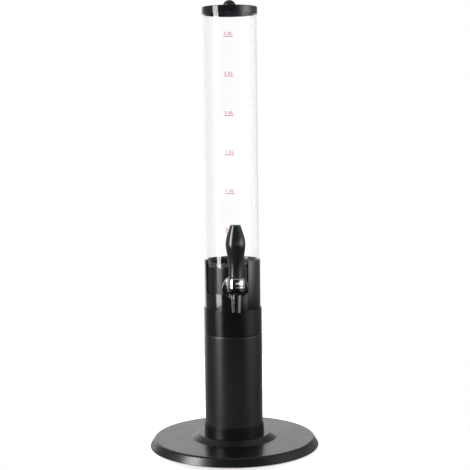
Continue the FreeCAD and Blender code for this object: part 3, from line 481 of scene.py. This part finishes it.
# height of the tap's shank, which runs out of the tower's axis towards the front
SHANK_Z = 307.2


def outward(r, c, s, d):
    """Placing of a turned shape along the tap's shank: the height is the distance out."""
    return Vector((r * c, -d, SHANK_Z + r * s)) * MM


def cut_or_fused(piece, other, operation):
    """Boolean of two closed meshes, which uses up the second."""
    settled(piece, "BOOLEAN", object=other, operation=operation, solver="EXACT")
    bpy.data.objects.remove(other)
    return piece


# Satin ABS of the cup: a finer grain than the foot, so its highlight is narrower and brighter.
black_abs_cup = moulded_plastic(
    "black_abs_fine_satin", "#101011", "#121214", roughness=0.24, unevenness=0.02,
    grain_mm=0.2, grain_depth_mm=0.0015, sheen=0.35)

cup = turned("container_cup", eased([
    (45.2, 282.4, 0.2), (46.8, 280.8, 0), (46.8, 246, 0.4), (50.0, 246, 0.8), (50.0, 341, 0.25),
    (47.35, 341, 0), (47.35, 344.2, 0), (46.0, 344.2, 0), (46.0, 345.7, 0), (47.35, 345.7, 0),
    (47.35, 349, 0.6), (44.85, 349, 0.4), (44.85, 337.8, 0.4), (46.8, 334.6, 0.4),
    (46.8, 284, 0), (45.2, 284, 0.2)]), 256, upright())
inside = turned("inside", [(0, 287), (46.8, 287), (46.8, 341), (0, 341)], 256, upright())
boss = turned("boss", eased([
    (0, 43.5, 0), (13.6, 43.5, 0.3), (13.6, 53.8, 0.4), (0, 53.8, 0)]), 96, outward)
cut_or_fused(boss, inside, "DIFFERENCE")
cut_or_fused(cup, boss, "UNION")
pad = turned("pad", eased([
    (0, 43.5, 0), (15.5, 43.5, 0.4), (15.5, 48.4, 0), (0, 48.4, 0)]), 96, outward)
within = turned("within", [(0, 286), (48.4, 286), (48.4, 340), (0, 340)], 256, upright())
cut_or_fused(pad, within, "INTERSECT")
cut_or_fused(cup, pad, "UNION")
hole = turned("hole", [(0, 30), (8.65, 30), (8.65, 60), (0, 60)], 96, outward)
cut_or_fused(cup, hole, "DIFFERENCE")
dressed(cup, "container", black_abs_cup, "black_abs", "tube_cup")
carried(rubber_sheet, "cup_seal")

# The cup's floor is a dished disc of the same black, bonded onto a ledge inside the wall.
cup_floor = turned("container_floor", eased([
    (0, 284, 0), (46.65, 284, 0.3), (46.65, 290, 0), (46.05, 290, 0.3), (43.05, 287, 0.6),
    (0, 287, 0)]), 192, upright())
dressed(cup_floor, "container", black_abs_cup, "black_abs", "cup_floor")

# ------------------------------------------------------------------ clear tube and its marks
# Extruded acrylic tube, 100 by 95 mm, slid over the cup's spigot. Its cut ends are polished. The
# half-litre marks are screen printed on its outside in red before it is fitted.


def clear_plastic(name, streak_mm, rubbed_mm):
    """Clear acrylic: faint streaks along the tube, a haze of fine rubbing, greyer seen edge on."""
    material, tree = new_material(name)
    here = add(tree, "TexCoord", out="Object")
    drawn = add(tree, "Mapping", {"Vector": here, "Scale": (1, 1, 0.02)})
    streaks = add(tree, "TexNoise", {"Vector": drawn, "Scale": 1 / (streak_mm * MM), "Detail": 2.0})
    rubbed = add(tree, "TexNoise", {"Vector": here, "Scale": 1 / (rubbed_mm * MM), "Detail": 4.0})
    edge_on = add(tree, "MapRange", {
        "Value": add(tree, "LayerWeight", {"Blend": 0.5}, "Facing"),
        "From Min": 0.12, "From Max": 0.50, "To Min": 0, "To Max": 1})
    body = add(tree, "BsdfPrincipled", {
        "Base Color": add(tree, "Mix", {
            "Factor": edge_on, 6: linear("#fefefe"), 7: linear("#f7f8f8")}, 2, data_type="RGBA"),
        "Transmission Weight": 1.0, "IOR": 1.49, "Specular Tint": (0.7, 0.7, 0.7, 1.0),
        "Roughness": add(tree, "MapRange", {
            "Value": rubbed, **NOISE_SPAN, "To Min": 0.0, "To Max": 0.012}),
        "Normal": add(tree, "Bump", {
            "Height": streaks, "Distance": 0.0012 * MM, "Strength": 1.0})})
    # lamps shine through the tube as through a clear pane, without the noise of bent shadows
    pane = add(tree, "BsdfTransparent", {"Color": linear("#f5f6f6")})
    surface = add(tree, "MixShader", {
        0: add(tree, "LightPath", out="Is Shadow Ray"), 1: body, 2: pane})
    add(tree, "OutputMaterial", {"Surface": surface})
    return material


# Extruded acrylic: nearly unseen from the front, with grey sides where the wall is seen edge on.
acrylic = clear_plastic("clear_acrylic_extruded", streak_mm=9, rubbed_mm=22)

TUBE_R = 50.0
TUBE_BORE_R = 47.5
TUBE_LOW = 341
TUBE_HIGH = 811.8
tube = turned("container_tube", eased([
    (TUBE_BORE_R, TUBE_LOW, 0.15), (TUBE_R, TUBE_LOW, 0.15), (TUBE_R, TUBE_HIGH, 0.3),
    (TUBE_BORE_R, TUBE_HIGH, 0.3)], 3), 256, upright())
dressed(tube, "container", acrylic, "clear_acrylic", "clear_tube")


def printed_ink(name, deep, pale, pinhole_mm, drying_mm, mesh_mm):
    """Screen-printed ink: even red with pinholes of thinner ink from the mesh."""
    material, tree = new_material(name)
    here = add(tree, "TexCoord", out="Object")
    holes = add(tree, "TexNoise", {"Vector": here, "Scale": 1 / (pinhole_mm * MM), "Detail": 3.0})
    dried = add(tree, "TexNoise", {"Vector": here, "Scale": 1 / (drying_mm * MM), "Detail": 2.0})
    mesh_print = add(tree, "TexNoise", {"Vector": here, "Scale": 1 / (mesh_mm * MM), "Detail": 2.0})
    surface = add(tree, "BsdfPrincipled", {
        "Base Color": add(tree, "Mix", {
            "Factor": holes, 6: linear(deep), 7: linear(pale)}, 2, data_type="RGBA"),
        "Roughness": add(tree, "MapRange", {
            "Value": dried, **NOISE_SPAN, "To Min": 0.35, "To Max": 0.55}),
        "IOR": 1.5,
        "Normal": add(tree, "Bump", {
            "Height": mesh_print, "Distance": 0.01 * MM, "Strength": 1.0})})
    add(tree, "OutputMaterial", {"Surface": surface})
    return material


# Red screen ink: reads as thin pink-red strokes on the clear wall.
red_ink = printed_ink(
    "red_screen_ink", "#cc2260", "#dc3a74", pinhole_mm=0.5, drying_mm=2.5, mesh_mm=0.3)

# half a litre in the tube's bore, the lowest line, and where the marks stand round the tube
MARK_STEP = 70.54
FIRST_LINE_Z = 407.1
MARK_MIDDLE = math.radians(-97.9)
LINE_HALF = 8.4
LINE_THICK = 1.2
FIGURES_ABOVE = 2.6
INK_LIFT = 0.06


def on_tube(across, z):
    """A point of the print: millimetres across from the marks' middle, and its height."""
    a = MARK_MIDDLE + across / TUBE_R
    r = TUBE_R + INK_LIFT
    return Vector((r * math.cos(a), r * math.sin(a), z)) * MM


def mark(number):
    """One graduation: its figure and the line under it, wrapped round the tube."""
    line_z = FIRST_LINE_Z + MARK_STEP * (number - 1)
    words = bpy.data.curves.new("words", "FONT")
    words.body = "%.1fL" % (number * 0.5)
    words.size = 7.6
    words.offset = 0.13
    words.align_x = "CENTER"
    words.space_character = 1.24
    words.resolution_u = 6
    source = bpy.data.objects.new("words", words)
    bpy.context.scene.collection.objects.link(source)
    graph = bpy.context.evaluated_depsgraph_get()
    flat = bpy.data.meshes.new_from_object(source.evaluated_get(graph))
    bpy.data.objects.remove(source)
    mesh = bmesh.new()
    mesh.from_mesh(flat)
    for vert in mesh.verts:
        vert.co = on_tube(vert.co.x, line_z + FIGURES_ABOVE + vert.co.y)
    columns = 24
    low, high = ([
        mesh.verts.new(on_tube(LINE_HALF * (2 * k / columns - 1), line_z + side * LINE_THICK / 2))
        for k in range(columns + 1)] for side in (-1, 1))
    for k in range(columns):
        mesh.faces.new((low[k], low[k + 1], high[k + 1], high[k]))
    bmesh.ops.recalc_face_normals(mesh, faces=mesh.faces)
    piece = shown("volume_mark_%d" % number, mesh)
    piece.data.materials.append(red_ink)
    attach(piece, "container")
    return piece


for number in range(1, 7):
    mark(number)

# ------------------------------------------------------------------ tap: flange, gaskets and nut
# The dished disc behind the tap is pressed and turned brass, polished and chromed. A rubber ring
# lies behind it, another one and a black nylon nut clamp the shank inside the cup.

# Polished chrome: bright where it faces the softboxes and nearly black where it faces the room.
chrome = metal(
    "polished_chrome", "#c2c4c6", "#cbccce", roughness=0.055, unevenness=0.03,
    mark_mm=9, mark_depth_mm=0.0025, patch_mm=6)
# Chrome over a pressed, less finely polished disc: rougher, so its rim glints are softer than the
# body's, and given a darker colour, a painted shade that dims them further.
chrome_painted_shade = metal(
    "pressed_chrome_painted_shade", "#868789", "#8f9092", roughness=0.13, unevenness=0.03,
    mark_mm=9, mark_depth_mm=0.0025, patch_mm=6)
# Moulded nylon of the nut: greyer and duller than the ABS.
black_nylon = moulded_plastic(
    "black_nylon_moulded", "#1a1a1b", "#222223", roughness=0.42, unevenness=0.05,
    grain_mm=0.4, grain_depth_mm=0.008)

flange = turned("tap_disc", eased([
    (8.65, 55.3, 0), (23.3, 55.3, 0.8), (23.3, 58.8, 0.6), (22.0, 58.8, 0.3), (21.3, 57.3, 0.5),
    (12.5, 57.3, 0.4), (11.75, 58.8, 0.3), (8.65, 58.8, 0)], 8), 192, outward)
dressed(flange, "container", chrome_painted_shade, "chrome", "tap_flange")
carried(rubber_sheet, "tap_outer_gasket", "tap_inner_gasket", "plunger_washer")
carried(black_nylon, "tap_nut")

# ------------------------------------------------------------------ tap body
# Cast and turned brass under chrome: a round body with a tapered spout below, a neck above for
# the bonnet, and a barrel and shank behind. A small fillet is left where the barrel meets it.

# the tap's upright axis stands this far in front of the tower's
TAP_OUT = 80.0
BALL_R = 16.5
BALL_Z = 311.0
BARREL_R = 11.0


def arc(cx, cz, radius, start_deg, end_deg, steps):
    """Points of an arc in the outline's plane."""
    points = []
    for k in range(steps + 1):
        a = math.radians(start_deg + (end_deg - start_deg) * k / steps)
        points.append((cx + radius * math.cos(a), cz + radius * math.sin(a)))
    return points


# where the spout's root meets the ball: the last points below it form a small fillet
ROOT_R = 10.4
root_deg = -math.degrees(math.acos(ROOT_R / BALL_R))
root_z = BALL_Z + BALL_R * math.sin(math.radians(root_deg))
spout_top = (9.33, root_z - 2.2)
spout_side = eased([(5.0, 300, 0), (5.0, 264.4, 0.3), (7.7, 264.4, 0.45), (*spout_top, 0)], 5)
fillet = []
below = Vector(spout_top)
bend = Vector((9.42, root_z - 0.4))
above = Vector((ROOT_R, root_z))
for t in (k / 8 for k in range(1, 8)):
    p = below * (1 - t) ** 2 + bend * 2 * t * (1 - t) + above * t * t
    fillet.append((p.x, p.y))
body_outline = (
    [(3.87, 305.1), (5.0, 305.1)] + [p for p in spout_side if p[1] < 299.9] + fillet
    + arc(0, BALL_Z, BALL_R, root_deg, 0, 26)
    + [(16.5, 311.3), (16.5, 312.3), (16.42, 312.52), (16.2, 312.6), (13.0, 312.6), (13.0, 320.7),
       (12.7, 321.0), (10.15, 321.0), (10.15, 313.6), (4.5, 313.6), (4.45, 312.6), (4.25, 311.9),
       (3.87, 311.25)])
tap_body = turned("tap_cast_body", body_outline, 160, upright(0, -TAP_OUT))


def barrel_and_shank(name):
    """Barrel and shank, with a fillet skirt that lies on the round body."""
    sides = 160
    fillet_size = 1.6
    mesh = bmesh.new()
    rows = [[outward(r, c, s, d) for c, s in circle(sides)] for r, d in (
        (6.2, 32.0), (8.2, 32.0), (8.5, 32.3), (8.5, 58.8), (BARREL_R, 58.8), (BARREL_R, 59.2))]
    centre = Vector((0, -TAP_OUT, BALL_Z)) * MM
    skirt = [[] for _ in range(8)]
    for c, s in circle(sides):
        rise = BARREL_R * s + SHANK_Z - BALL_Z
        depth = math.sqrt(max(0.0, BALL_R ** 2 - (BARREL_R * c) ** 2 - rise ** 2))
        meet = outward(BARREL_R, c, s, TAP_OUT - depth)
        start = outward(BARREL_R, c, s, TAP_OUT - depth - fillet_size)
        beyond = outward(BARREL_R + fillet_size, c, s, TAP_OUT - depth)
        out = (beyond - centre).normalized() * BALL_R * MM + centre
        for i in range(7):
            t = i / 6
            skirt[i].append(start * (1 - t) ** 2 + meet * 2 * t * (1 - t) + out * t * t)
        skirt[7].append(centre + (out - centre) * 0.96)
    rings = [[mesh.verts.new(point) for point in row] for row in rows + skirt]
    for ring, after in zip(rings, rings[1:]):
        for k in range(sides):
            j = (k + 1) % sides
            mesh.faces.new((ring[k], ring[j], after[j], after[k]))
    mesh.faces.new(rings[0])
    mesh.faces.new(list(reversed(rings[-1])))
    bmesh.ops.recalc_face_normals(mesh, faces=mesh.faces)
    return shown(name, mesh)


barrel = barrel_and_shank("barrel")
# the bore through shank and ball narrows in steps towards the front
for part_of_body in (tap_body, barrel):
    passage = turned("passage", [
        (0, 30), (6.2, 30), (6.2, 61.5), (4.2, 61.5), (4.2, 86), (2.05, 86), (2.05, 93.5),
        (0, 93.5)], 64, outward)
    cut_or_fused(part_of_body, passage, "DIFFERENCE")
joined(tap_body, barrel)
dressed(tap_body, "container", chrome, "chrome", "tap_body")

# ------------------------------------------------------------------ bonnet, lever and valve
# The bonnet screws onto the neck over the acetal bush and has a slot that lets the steel lever
# lean forward only. It is chromed like the body; the lever is bright drawn stainless steel.

# the middle of the lever's ball, which the dome and the handle's hollow foot are struck from
PIVOT_Z = 313.5
DOME_EDGE_R = 14.8
DOME_EDGE_Z = 326
DOME_WALL = 2.6
dome_r = math.hypot(DOME_EDGE_R, DOME_EDGE_Z - PIVOT_Z)
dome_edge = math.degrees(math.acos(DOME_EDGE_R / dome_r))
# from the foot up: the eased lower edge, the slightly bellied side, the dome and the hollow inside
bonnet_outline = (
    [(13.15, 318), (13.15, 312.8), (13.35, 312.6), (16.05, 312.6), (16.25, 312.66)]
    + [(16.3 + 0.91 * t - 2.44 * t * t, 312.8 + 13.0 * t) for t in (k / 20 for k in range(21))]
    + arc(0, PIVOT_Z, dome_r, dome_edge + 1.0, 90, 24)
    + [(0, PIVOT_Z + dome_r - DOME_WALL), (6.0, 329.2), (13.15, 324.3)])
bonnet = turned("tap_bonnet_cap", bonnet_outline, 160, upright(0, -TAP_OUT))


def swing_slot(name):
    """The space that the lever's stem sweeps, as one closed hull."""
    half_width = 3.4
    mesh = bmesh.new()
    for tilt in (0, 10, 20, 30):
        turn = Matrix.Rotation(math.radians(tilt), 3, "X")
        for k in range(48):
            a = 2 * math.pi * k / 48
            for h in (2.0, 40.0):
                p = turn @ Vector((half_width * math.cos(a), half_width * math.sin(a), h))
                mesh.verts.new((p + Vector((0, -TAP_OUT, PIVOT_Z))) * MM)
    hull = bmesh.ops.convex_hull(mesh, input=mesh.verts)
    loose = {g for g in hull["geom_interior"] + hull["geom_unused"]
             if isinstance(g, bmesh.types.BMVert)}
    bmesh.ops.delete(mesh, geom=list(loose), context="VERTS")
    return shown(name, mesh)


cut_or_fused(bonnet, swing_slot("slot"), "DIFFERENCE")
dressed(bonnet, "container", chrome, "chrome", "tap_bonnet")

# Drawn stainless bar: satin grey with fine scratches along the rod.
drawn_steel = metal(
    "stainless_drawn", "#a5a6a4", "#bcbcb9", roughness=0.24, unevenness=0.06,
    mark_mm=0.25, mark_depth_mm=0.002, stretch=(1, 1, 0.05))
# Turned brass: warm yellow with lathe rings across it.
turned_brass = metal(
    "brass_turned", "#b08d45", "#c6a558", roughness=0.28, unevenness=0.06,
    mark_mm=0.3, mark_depth_mm=0.003, stretch=(0.05, 0.05, 1))
carried(drawn_steel, "tap_lever", "lid_screw")
carried(turned_brass, "handle_insert")

# ------------------------------------------------------------------ handle
# The handle is moulded in glossy black over a brass insert and tumbled smooth. Its foot is hollowed
# to clear the bonnet; a slim neck swells to a belly and runs up to a small flat crown.

# Barrel-polished black: the grip is tumbled, not buffed, so its highlights have soft edges.
black_tumbled = moulded_plastic(
    "black_gloss_tumbled", "#1d1e21", "#212225", roughness=0.2, unevenness=0.02,
    grain_mm=3.0, grain_depth_mm=0.003, sheen=0.56)


def through(points, count):
    """Smooth curve r(z) through points, a natural cubic spline, as (r, z) pairs."""
    n = len(points)
    z = [p[1] for p in points]
    r = [p[0] for p in points]
    h = [z[i + 1] - z[i] for i in range(n - 1)]
    m = [0.0] * n
    diag = [1.0] * n
    rest = [0.0] * n
    for i in range(1, n - 1):
        width = 2 * (z[i + 1] - z[i - 1]) - (h[i - 1] * diag[i - 1] if i > 1 else 0.0)
        diag[i] = h[i] / width
        pull = 6 * ((r[i + 1] - r[i]) / h[i] - (r[i] - r[i - 1]) / h[i - 1])
        rest[i] = (pull - (h[i - 1] * rest[i - 1] if i > 1 else 0.0)) / width
    for i in range(n - 2, 0, -1):
        m[i] = rest[i] - (diag[i] * m[i + 1] if i < n - 2 else 0.0)
    curve = []
    for k in range(count + 1):
        at = z[0] + (z[-1] - z[0]) * k / count
        i = max(j for j in range(n - 1) if z[j] <= at + 1e-9)
        a = (z[i + 1] - at) / h[i]
        b = (at - z[i]) / h[i]
        curve.append((a * r[i] + b * r[i + 1]
                      + ((a ** 3 - a) * m[i] + (b ** 3 - b) * m[i + 1]) * h[i] ** 2 / 6, at))
    return curve


hollow_r = dome_r + 0.5
FOOT_R = 12.9
INSERT_R = 3.15
foot_z = PIVOT_Z + math.sqrt(hollow_r ** 2 - FOOT_R ** 2)
crown_z = foot_z + 92.9
side = through([(FOOT_R, foot_z), (13.6, foot_z + 25.4), (16.1, foot_z + 43.4),
                (18.3, foot_z + 60.4), (14.3, foot_z + 79.9), (9.8, crown_z)], 64)
handle_outline = (
    arc(0, PIVOT_Z, hollow_r, 79, math.degrees(math.acos((FOOT_R - 0.2) / hollow_r)), 12)
    + [(side[0][0] - 0.05, side[0][1] - 0.02)] + side[:-1]
    + arc(7.8, crown_z, 2.0, 0, 90, 10)
    + [(7.3, crown_z + 2.0), (3.8, crown_z + 2.0), (0, crown_z + 2.0), (0, 362.2),
       (INSERT_R, 362.2), (INSERT_R, PIVOT_Z + math.sqrt(hollow_r ** 2 - INSERT_R ** 2))])
handle = turned("tap_handle_grip", handle_outline, 160, upright(0, -TAP_OUT))
dressed(handle, "handle", black_tumbled, "black_gloss", "tap_handle")

# ------------------------------------------------------------------ lid and knob
# The lid is moulded in the handle's black but buffed: a flat top with a rounded edge, a short skirt
# outside the tube and a centring lip inside it. A screw from inside holds the domed knob.

# Polished gloss plastic: a near-black with a cool cast, sharp highlights and light swirl marks.
black_gloss = moulded_plastic(
    "black_gloss_polished", "#18191d", "#1b1c21", roughness=0.09, unevenness=0.02,
    grain_mm=3.0, grain_depth_mm=0.003)

lid = turned("lid_cover", eased([
    (2.15, 812.8, 0), (46.2, 812.8, 0.3), (46.2, 805.8, 0.3), (47.2, 805.8, 0.3),
    (47.2, 812.8, 0.2), (50.3, 812.8, 0.2), (50.3, 802.3, 0.2), (51.1, 802.3, 0.25),
    (51.1, 816.0, 1.2), (2.15, 816.0, 0)]), 256, upright())
dressed(lid, "lid", black_gloss, "black_gloss", "lid_cap")
knob = turned("lid_knob_grip", (
    [(2.15, 816.0), (12.1, 816.0), (12.2, 816.1)] + arc(0, 816.8, 12.2, 0, 90, 32)
    + [(0, 824.4), (2.15, 824.4)]), 128, upright())
dressed(knob, "lid", black_gloss, "black_gloss", "lid_knob")
carried(rubber_sheet, "lid_gasket")

# ------------------------------------------------------------------ studio
# A pale table top under the tower against white. A tall leaning strip softbox stands on the left
# with a low one under it, a low panel to the right of the camera, and a weak square one overhead.

# the camera stands a little to one side of the tap
VIEW_TURN = -4.5


def around(azimuth_deg, distance, height):
    """A place in the studio: degrees from the camera's side of the tower, positive to its right."""
    a = math.radians(-90 + VIEW_TURN + azimuth_deg)
    return Vector((distance * math.cos(a), distance * math.sin(a), height))


def softbox(name, azimuth_deg, distance, height, width, tall, level, aim=None, lean_deg=0.0):
    """Area lamp facing the tower, leaning sideways if asked; level is its face's radiance."""
    lamp = bpy.data.lights.new(name, "AREA")
    lamp.shape = "RECTANGLE"
    lamp.size = width
    lamp.size_y = tall
    lamp.energy = level * math.pi * width * tall
    box = bpy.data.objects.new(name, lamp)
    box.location = around(azimuth_deg, distance, height)
    target = Vector((0, 0, height)) if aim is None else Vector(aim)
    facing_tower = (target - box.location).to_track_quat("-Z", "Y").to_matrix()
    box.rotation_euler = (facing_tower @ Matrix.Rotation(math.radians(lean_deg), 3, "Z")).to_euler()
    box.visible_camera = False
    bpy.context.scene.collection.objects.link(box)
    return box


softbox("strip_left", azimuth_deg=-61.6, distance=6.0, height=2.8, width=2.45, tall=6.6,
        level=12.0, lean_deg=7.5)
softbox("strip_left_foot", azimuth_deg=-53.0, distance=6.0, height=-0.93, width=1.6, tall=0.46,
        level=5.0)
softbox("panel_front", azimuth_deg=22, distance=1.75, height=0.49, width=1.80, tall=0.28,
        level=0.65)
softbox("overhead", azimuth_deg=0, distance=0.1, height=2.6, width=1.0, tall=1.0,
        level=0.35, aim=(0, 0, 0))

TABLE_HALF = 0.36
TABLE_FRONT = -0.85
TABLE_BACK = 0.85
floor_data = bpy.data.meshes.new("table_top")
floor_data.from_pydata([
    (-TABLE_HALF, TABLE_FRONT, 0), (TABLE_HALF, TABLE_FRONT, 0),
    (TABLE_HALF, TABLE_BACK, 0), (-TABLE_HALF, TABLE_BACK, 0)], [], [(0, 1, 2, 3)])
floor = bpy.data.objects.new("table_top", floor_data)
floor.rotation_euler.z = math.radians(VIEW_TURN)
bpy.context.scene.collection.objects.link(floor)

# Matt white laminate: it shows the lamps' soft shadow in front of the foot, deepened by a painted
# shadow where its glow for the camera is weaker, and fades to white all round.
# Shiny pieces see the same top at a shallow angle, and a painted dark reflection of it, near black,
# where they look straight down.
pale, tree = new_material("pale_table")
rays = add(tree, "LightPath", out="Is Camera Ray")
light_path = rays.node
face = add(tree, "BsdfDiffuse", {"Color": linear("#e6e6e6")})
# painted dark reflection: glossy rays that look steeply down at the table see near black instead of
# its white
painted_dark_reflection_mask = add(tree, "MapRange", {
    "Value": add(tree, "LayerWeight", {"Blend": 0.5}, "Facing"),
    "From Min": 0.69, "From Max": 0.76, "To Min": 1.0, "To Max": 0.0})
table_with_painted_dark_reflection = add(tree, "MixShader", {
    0: add(tree, "Math", {0: painted_dark_reflection_mask, 1: light_path.outputs["Is Glossy Ray"]},
           operation="MULTIPLY"),
    1: face, 2: add(tree, "BsdfDiffuse", {"Color": linear("#1a1a1a")})})
# painted shadow: the camera's glow is weakest just in front of the foot and rises to full white
# further away
painted_shadow_distance = add(tree, "VectorMath", {
    0: add(tree, "TexCoord", out="Object"), 1: (-0.01, -0.10, 0)}, 1, operation="DISTANCE")
glow_with_painted_shadow = add(tree, "Emission", {"Color": (1, 1, 1, 1), "Strength": add(tree, "MapRange", {
    "Value": painted_shadow_distance, "From Min": 0.06, "From Max": 0.23, "To Min": 0.26, "To Max": 1.0})})
top = add(tree, "MixShader", {
    0: add(tree, "Math", {0: rays, 1: light_path.outputs["Is Transmission Ray"]},
           operation="MAXIMUM"),
    1: table_with_painted_dark_reflection, 2: add(tree, "AddShader", {0: face, 1: glow_with_painted_shadow})})
add(tree, "OutputMaterial", {"Surface": top})
floor.data.materials.append(pale)

# The white background is seen by the camera and straight through the clear tube. Everything else
# sees a white wall behind the tower, a dim room in front of it and a wide soft light on the right.
world = bpy.data.worlds.new("studio")
bpy.context.scene.world = world
world.use_nodes = True
tree = world.node_tree
tree.nodes.clear()

direction = add(tree, "TexCoord", out="Generated")
height = add(tree, "SeparateXYZ", {0: direction}, "Z")
backwards = add(tree, "VectorMath", {0: direction, 1: around(180, 1.0, 0.0)}, 1,
                operation="DOT_PRODUCT")
to_wall = add(tree, "VectorMath", {0: direction, 1: around(192, 1.0, 0.0)}, 1,
              operation="DOT_PRODUCT")
wall = add(tree, "MapRange", {
    "Value": to_wall, "From Min": 0.72, "From Max": 0.93, "To Min": 0.0, "To Max": 1.2},
    interpolation_type="SMOOTHSTEP")
above_floor = add(tree, "MapRange", {
    "Value": height, "From Min": -0.30, "From Max": -0.12, "To Min": 0.25, "To Max": 1.0},
    interpolation_type="SMOOTHSTEP")
dim = add(tree, "MapRange", {
    "Value": backwards, "From Min": -0.80, "From Max": 0.10, "To Min": 0.03, "To Max": 0.30},
    interpolation_type="SMOOTHSTEP")
room = add(tree, "Math", {
    0: add(tree, "Math", {0: dim, 1: above_floor}, operation="MULTIPLY"), 1: wall},
    operation="MAXIMUM")

# the soft light on the right is a belt at table height, brightest at one azimuth, with wide flanks
belt_foot = add(tree, "MapRange", {
    "Value": height, "From Min": -0.28, "From Max": 0.09, "To Min": 0.03, "To Max": 1.0},
    interpolation_type="SMOOTHSTEP")
belt_head = add(tree, "MapRange", {
    "Value": height, "From Min": 0.09, "From Max": 0.32, "To Min": 1.0, "To Max": 0.15},
    interpolation_type="SMOOTHSTEP")
belt = add(tree, "Math", {0: belt_foot, 1: belt_head}, operation="MULTIPLY")
squeezed = add(tree, "VectorMath", {0: direction, 1: (1, 1, 0.35)}, operation="MULTIPLY")
flattened = add(tree, "VectorMath", {0: squeezed}, operation="NORMALIZE")
lobes = []
for azimuth_deg, level, sharpness in ((72, 3.6, 13.0), (80, 0.5, 3.0)):
    cosine = add(tree, "VectorMath", {0: flattened, 1: around(azimuth_deg, 1.0, 0.0)}, 1,
                 operation="DOT_PRODUCT")
    lit_side = add(tree, "Math", {0: cosine, 1: 0.0}, operation="MAXIMUM")
    peak = add(tree, "Math", {0: lit_side, 1: sharpness}, operation="POWER")
    lobes.append(add(tree, "Math", {0: peak, 1: level}, operation="MULTIPLY"))
both = add(tree, "Math", {0: lobes[0], 1: lobes[1]}, operation="ADD")
right_light = add(tree, "Math", {0: belt, 1: both}, operation="MULTIPLY")
lit_room = add(tree, "Math", {0: room, 1: right_light}, operation="ADD")

# what the clear tube lets through: white when looked through, darker towards the sides otherwise
camera_ray = add(tree, "LightPath", out="Is Camera Ray")
path = camera_ray.node.outputs
straight = add(tree, "Math", {0: path["Glossy Depth"], 1: 0.5}, operation="LESS_THAN")
behind = add(tree, "MapRange", {
    "Value": backwards, "From Min": 0.30, "From Max": 0.70, "To Min": 0.2, "To Max": 1.0},
    interpolation_type="SMOOTHSTEP")
white = add(tree, "Math", {0: straight, 1: 1.09}, operation="MULTIPLY")
seen_through = add(tree, "Math", {0: white, 1: behind}, operation="MAXIMUM")
through_tube = add(tree, "Math", {0: path["Is Transmission Ray"], 1: seen_through},
                   operation="MULTIPLY")
bright = add(tree, "Math", {0: camera_ray, 1: through_tube}, operation="MAXIMUM")
seen_white = add(tree, "Math", {0: camera_ray, 1: path["Is Transmission Ray"]},
                 operation="MAXIMUM")
strength = add(tree, "Mix", {"Factor": seen_white, 2: lit_room, 3: bright}, data_type="FLOAT")
backdrop = add(tree, "Background", {"Color": (1, 1, 1, 1), "Strength": strength})
add(tree, "OutputWorld", {"Surface": backdrop})

# ------------------------------------------------------------------ camera
# A long lens a little above the table, looking slightly down, so that the tower stays upright and
# the foot shows as a flat ellipse.

# in mm, before the turn to the side
CAMERA_PLACE = (5.5, -2178.3, 610.0)
LOOKS_DOWN_DEG = 5.571
ROLL_DEG = -0.667
lens = bpy.data.cameras.new("camera")
lens.sensor_width = 36.0
lens.lens = 90.05
camera = bpy.data.objects.new("camera", lens)
turn = Matrix.Rotation(math.radians(VIEW_TURN), 4, "Z")
camera.matrix_world = (
    Matrix.Translation(turn @ Vector(CAMERA_PLACE) * MM) @ turn
    @ Matrix.Rotation(math.radians(90 - LOOKS_DOWN_DEG), 4, "X")
    @ Matrix.Rotation(math.radians(ROLL_DEG), 4, "Z"))
bpy.context.scene.collection.objects.link(camera)
bpy.context.scene.camera = camera
bpy.context.scene.view_settings.view_transform = "Standard"
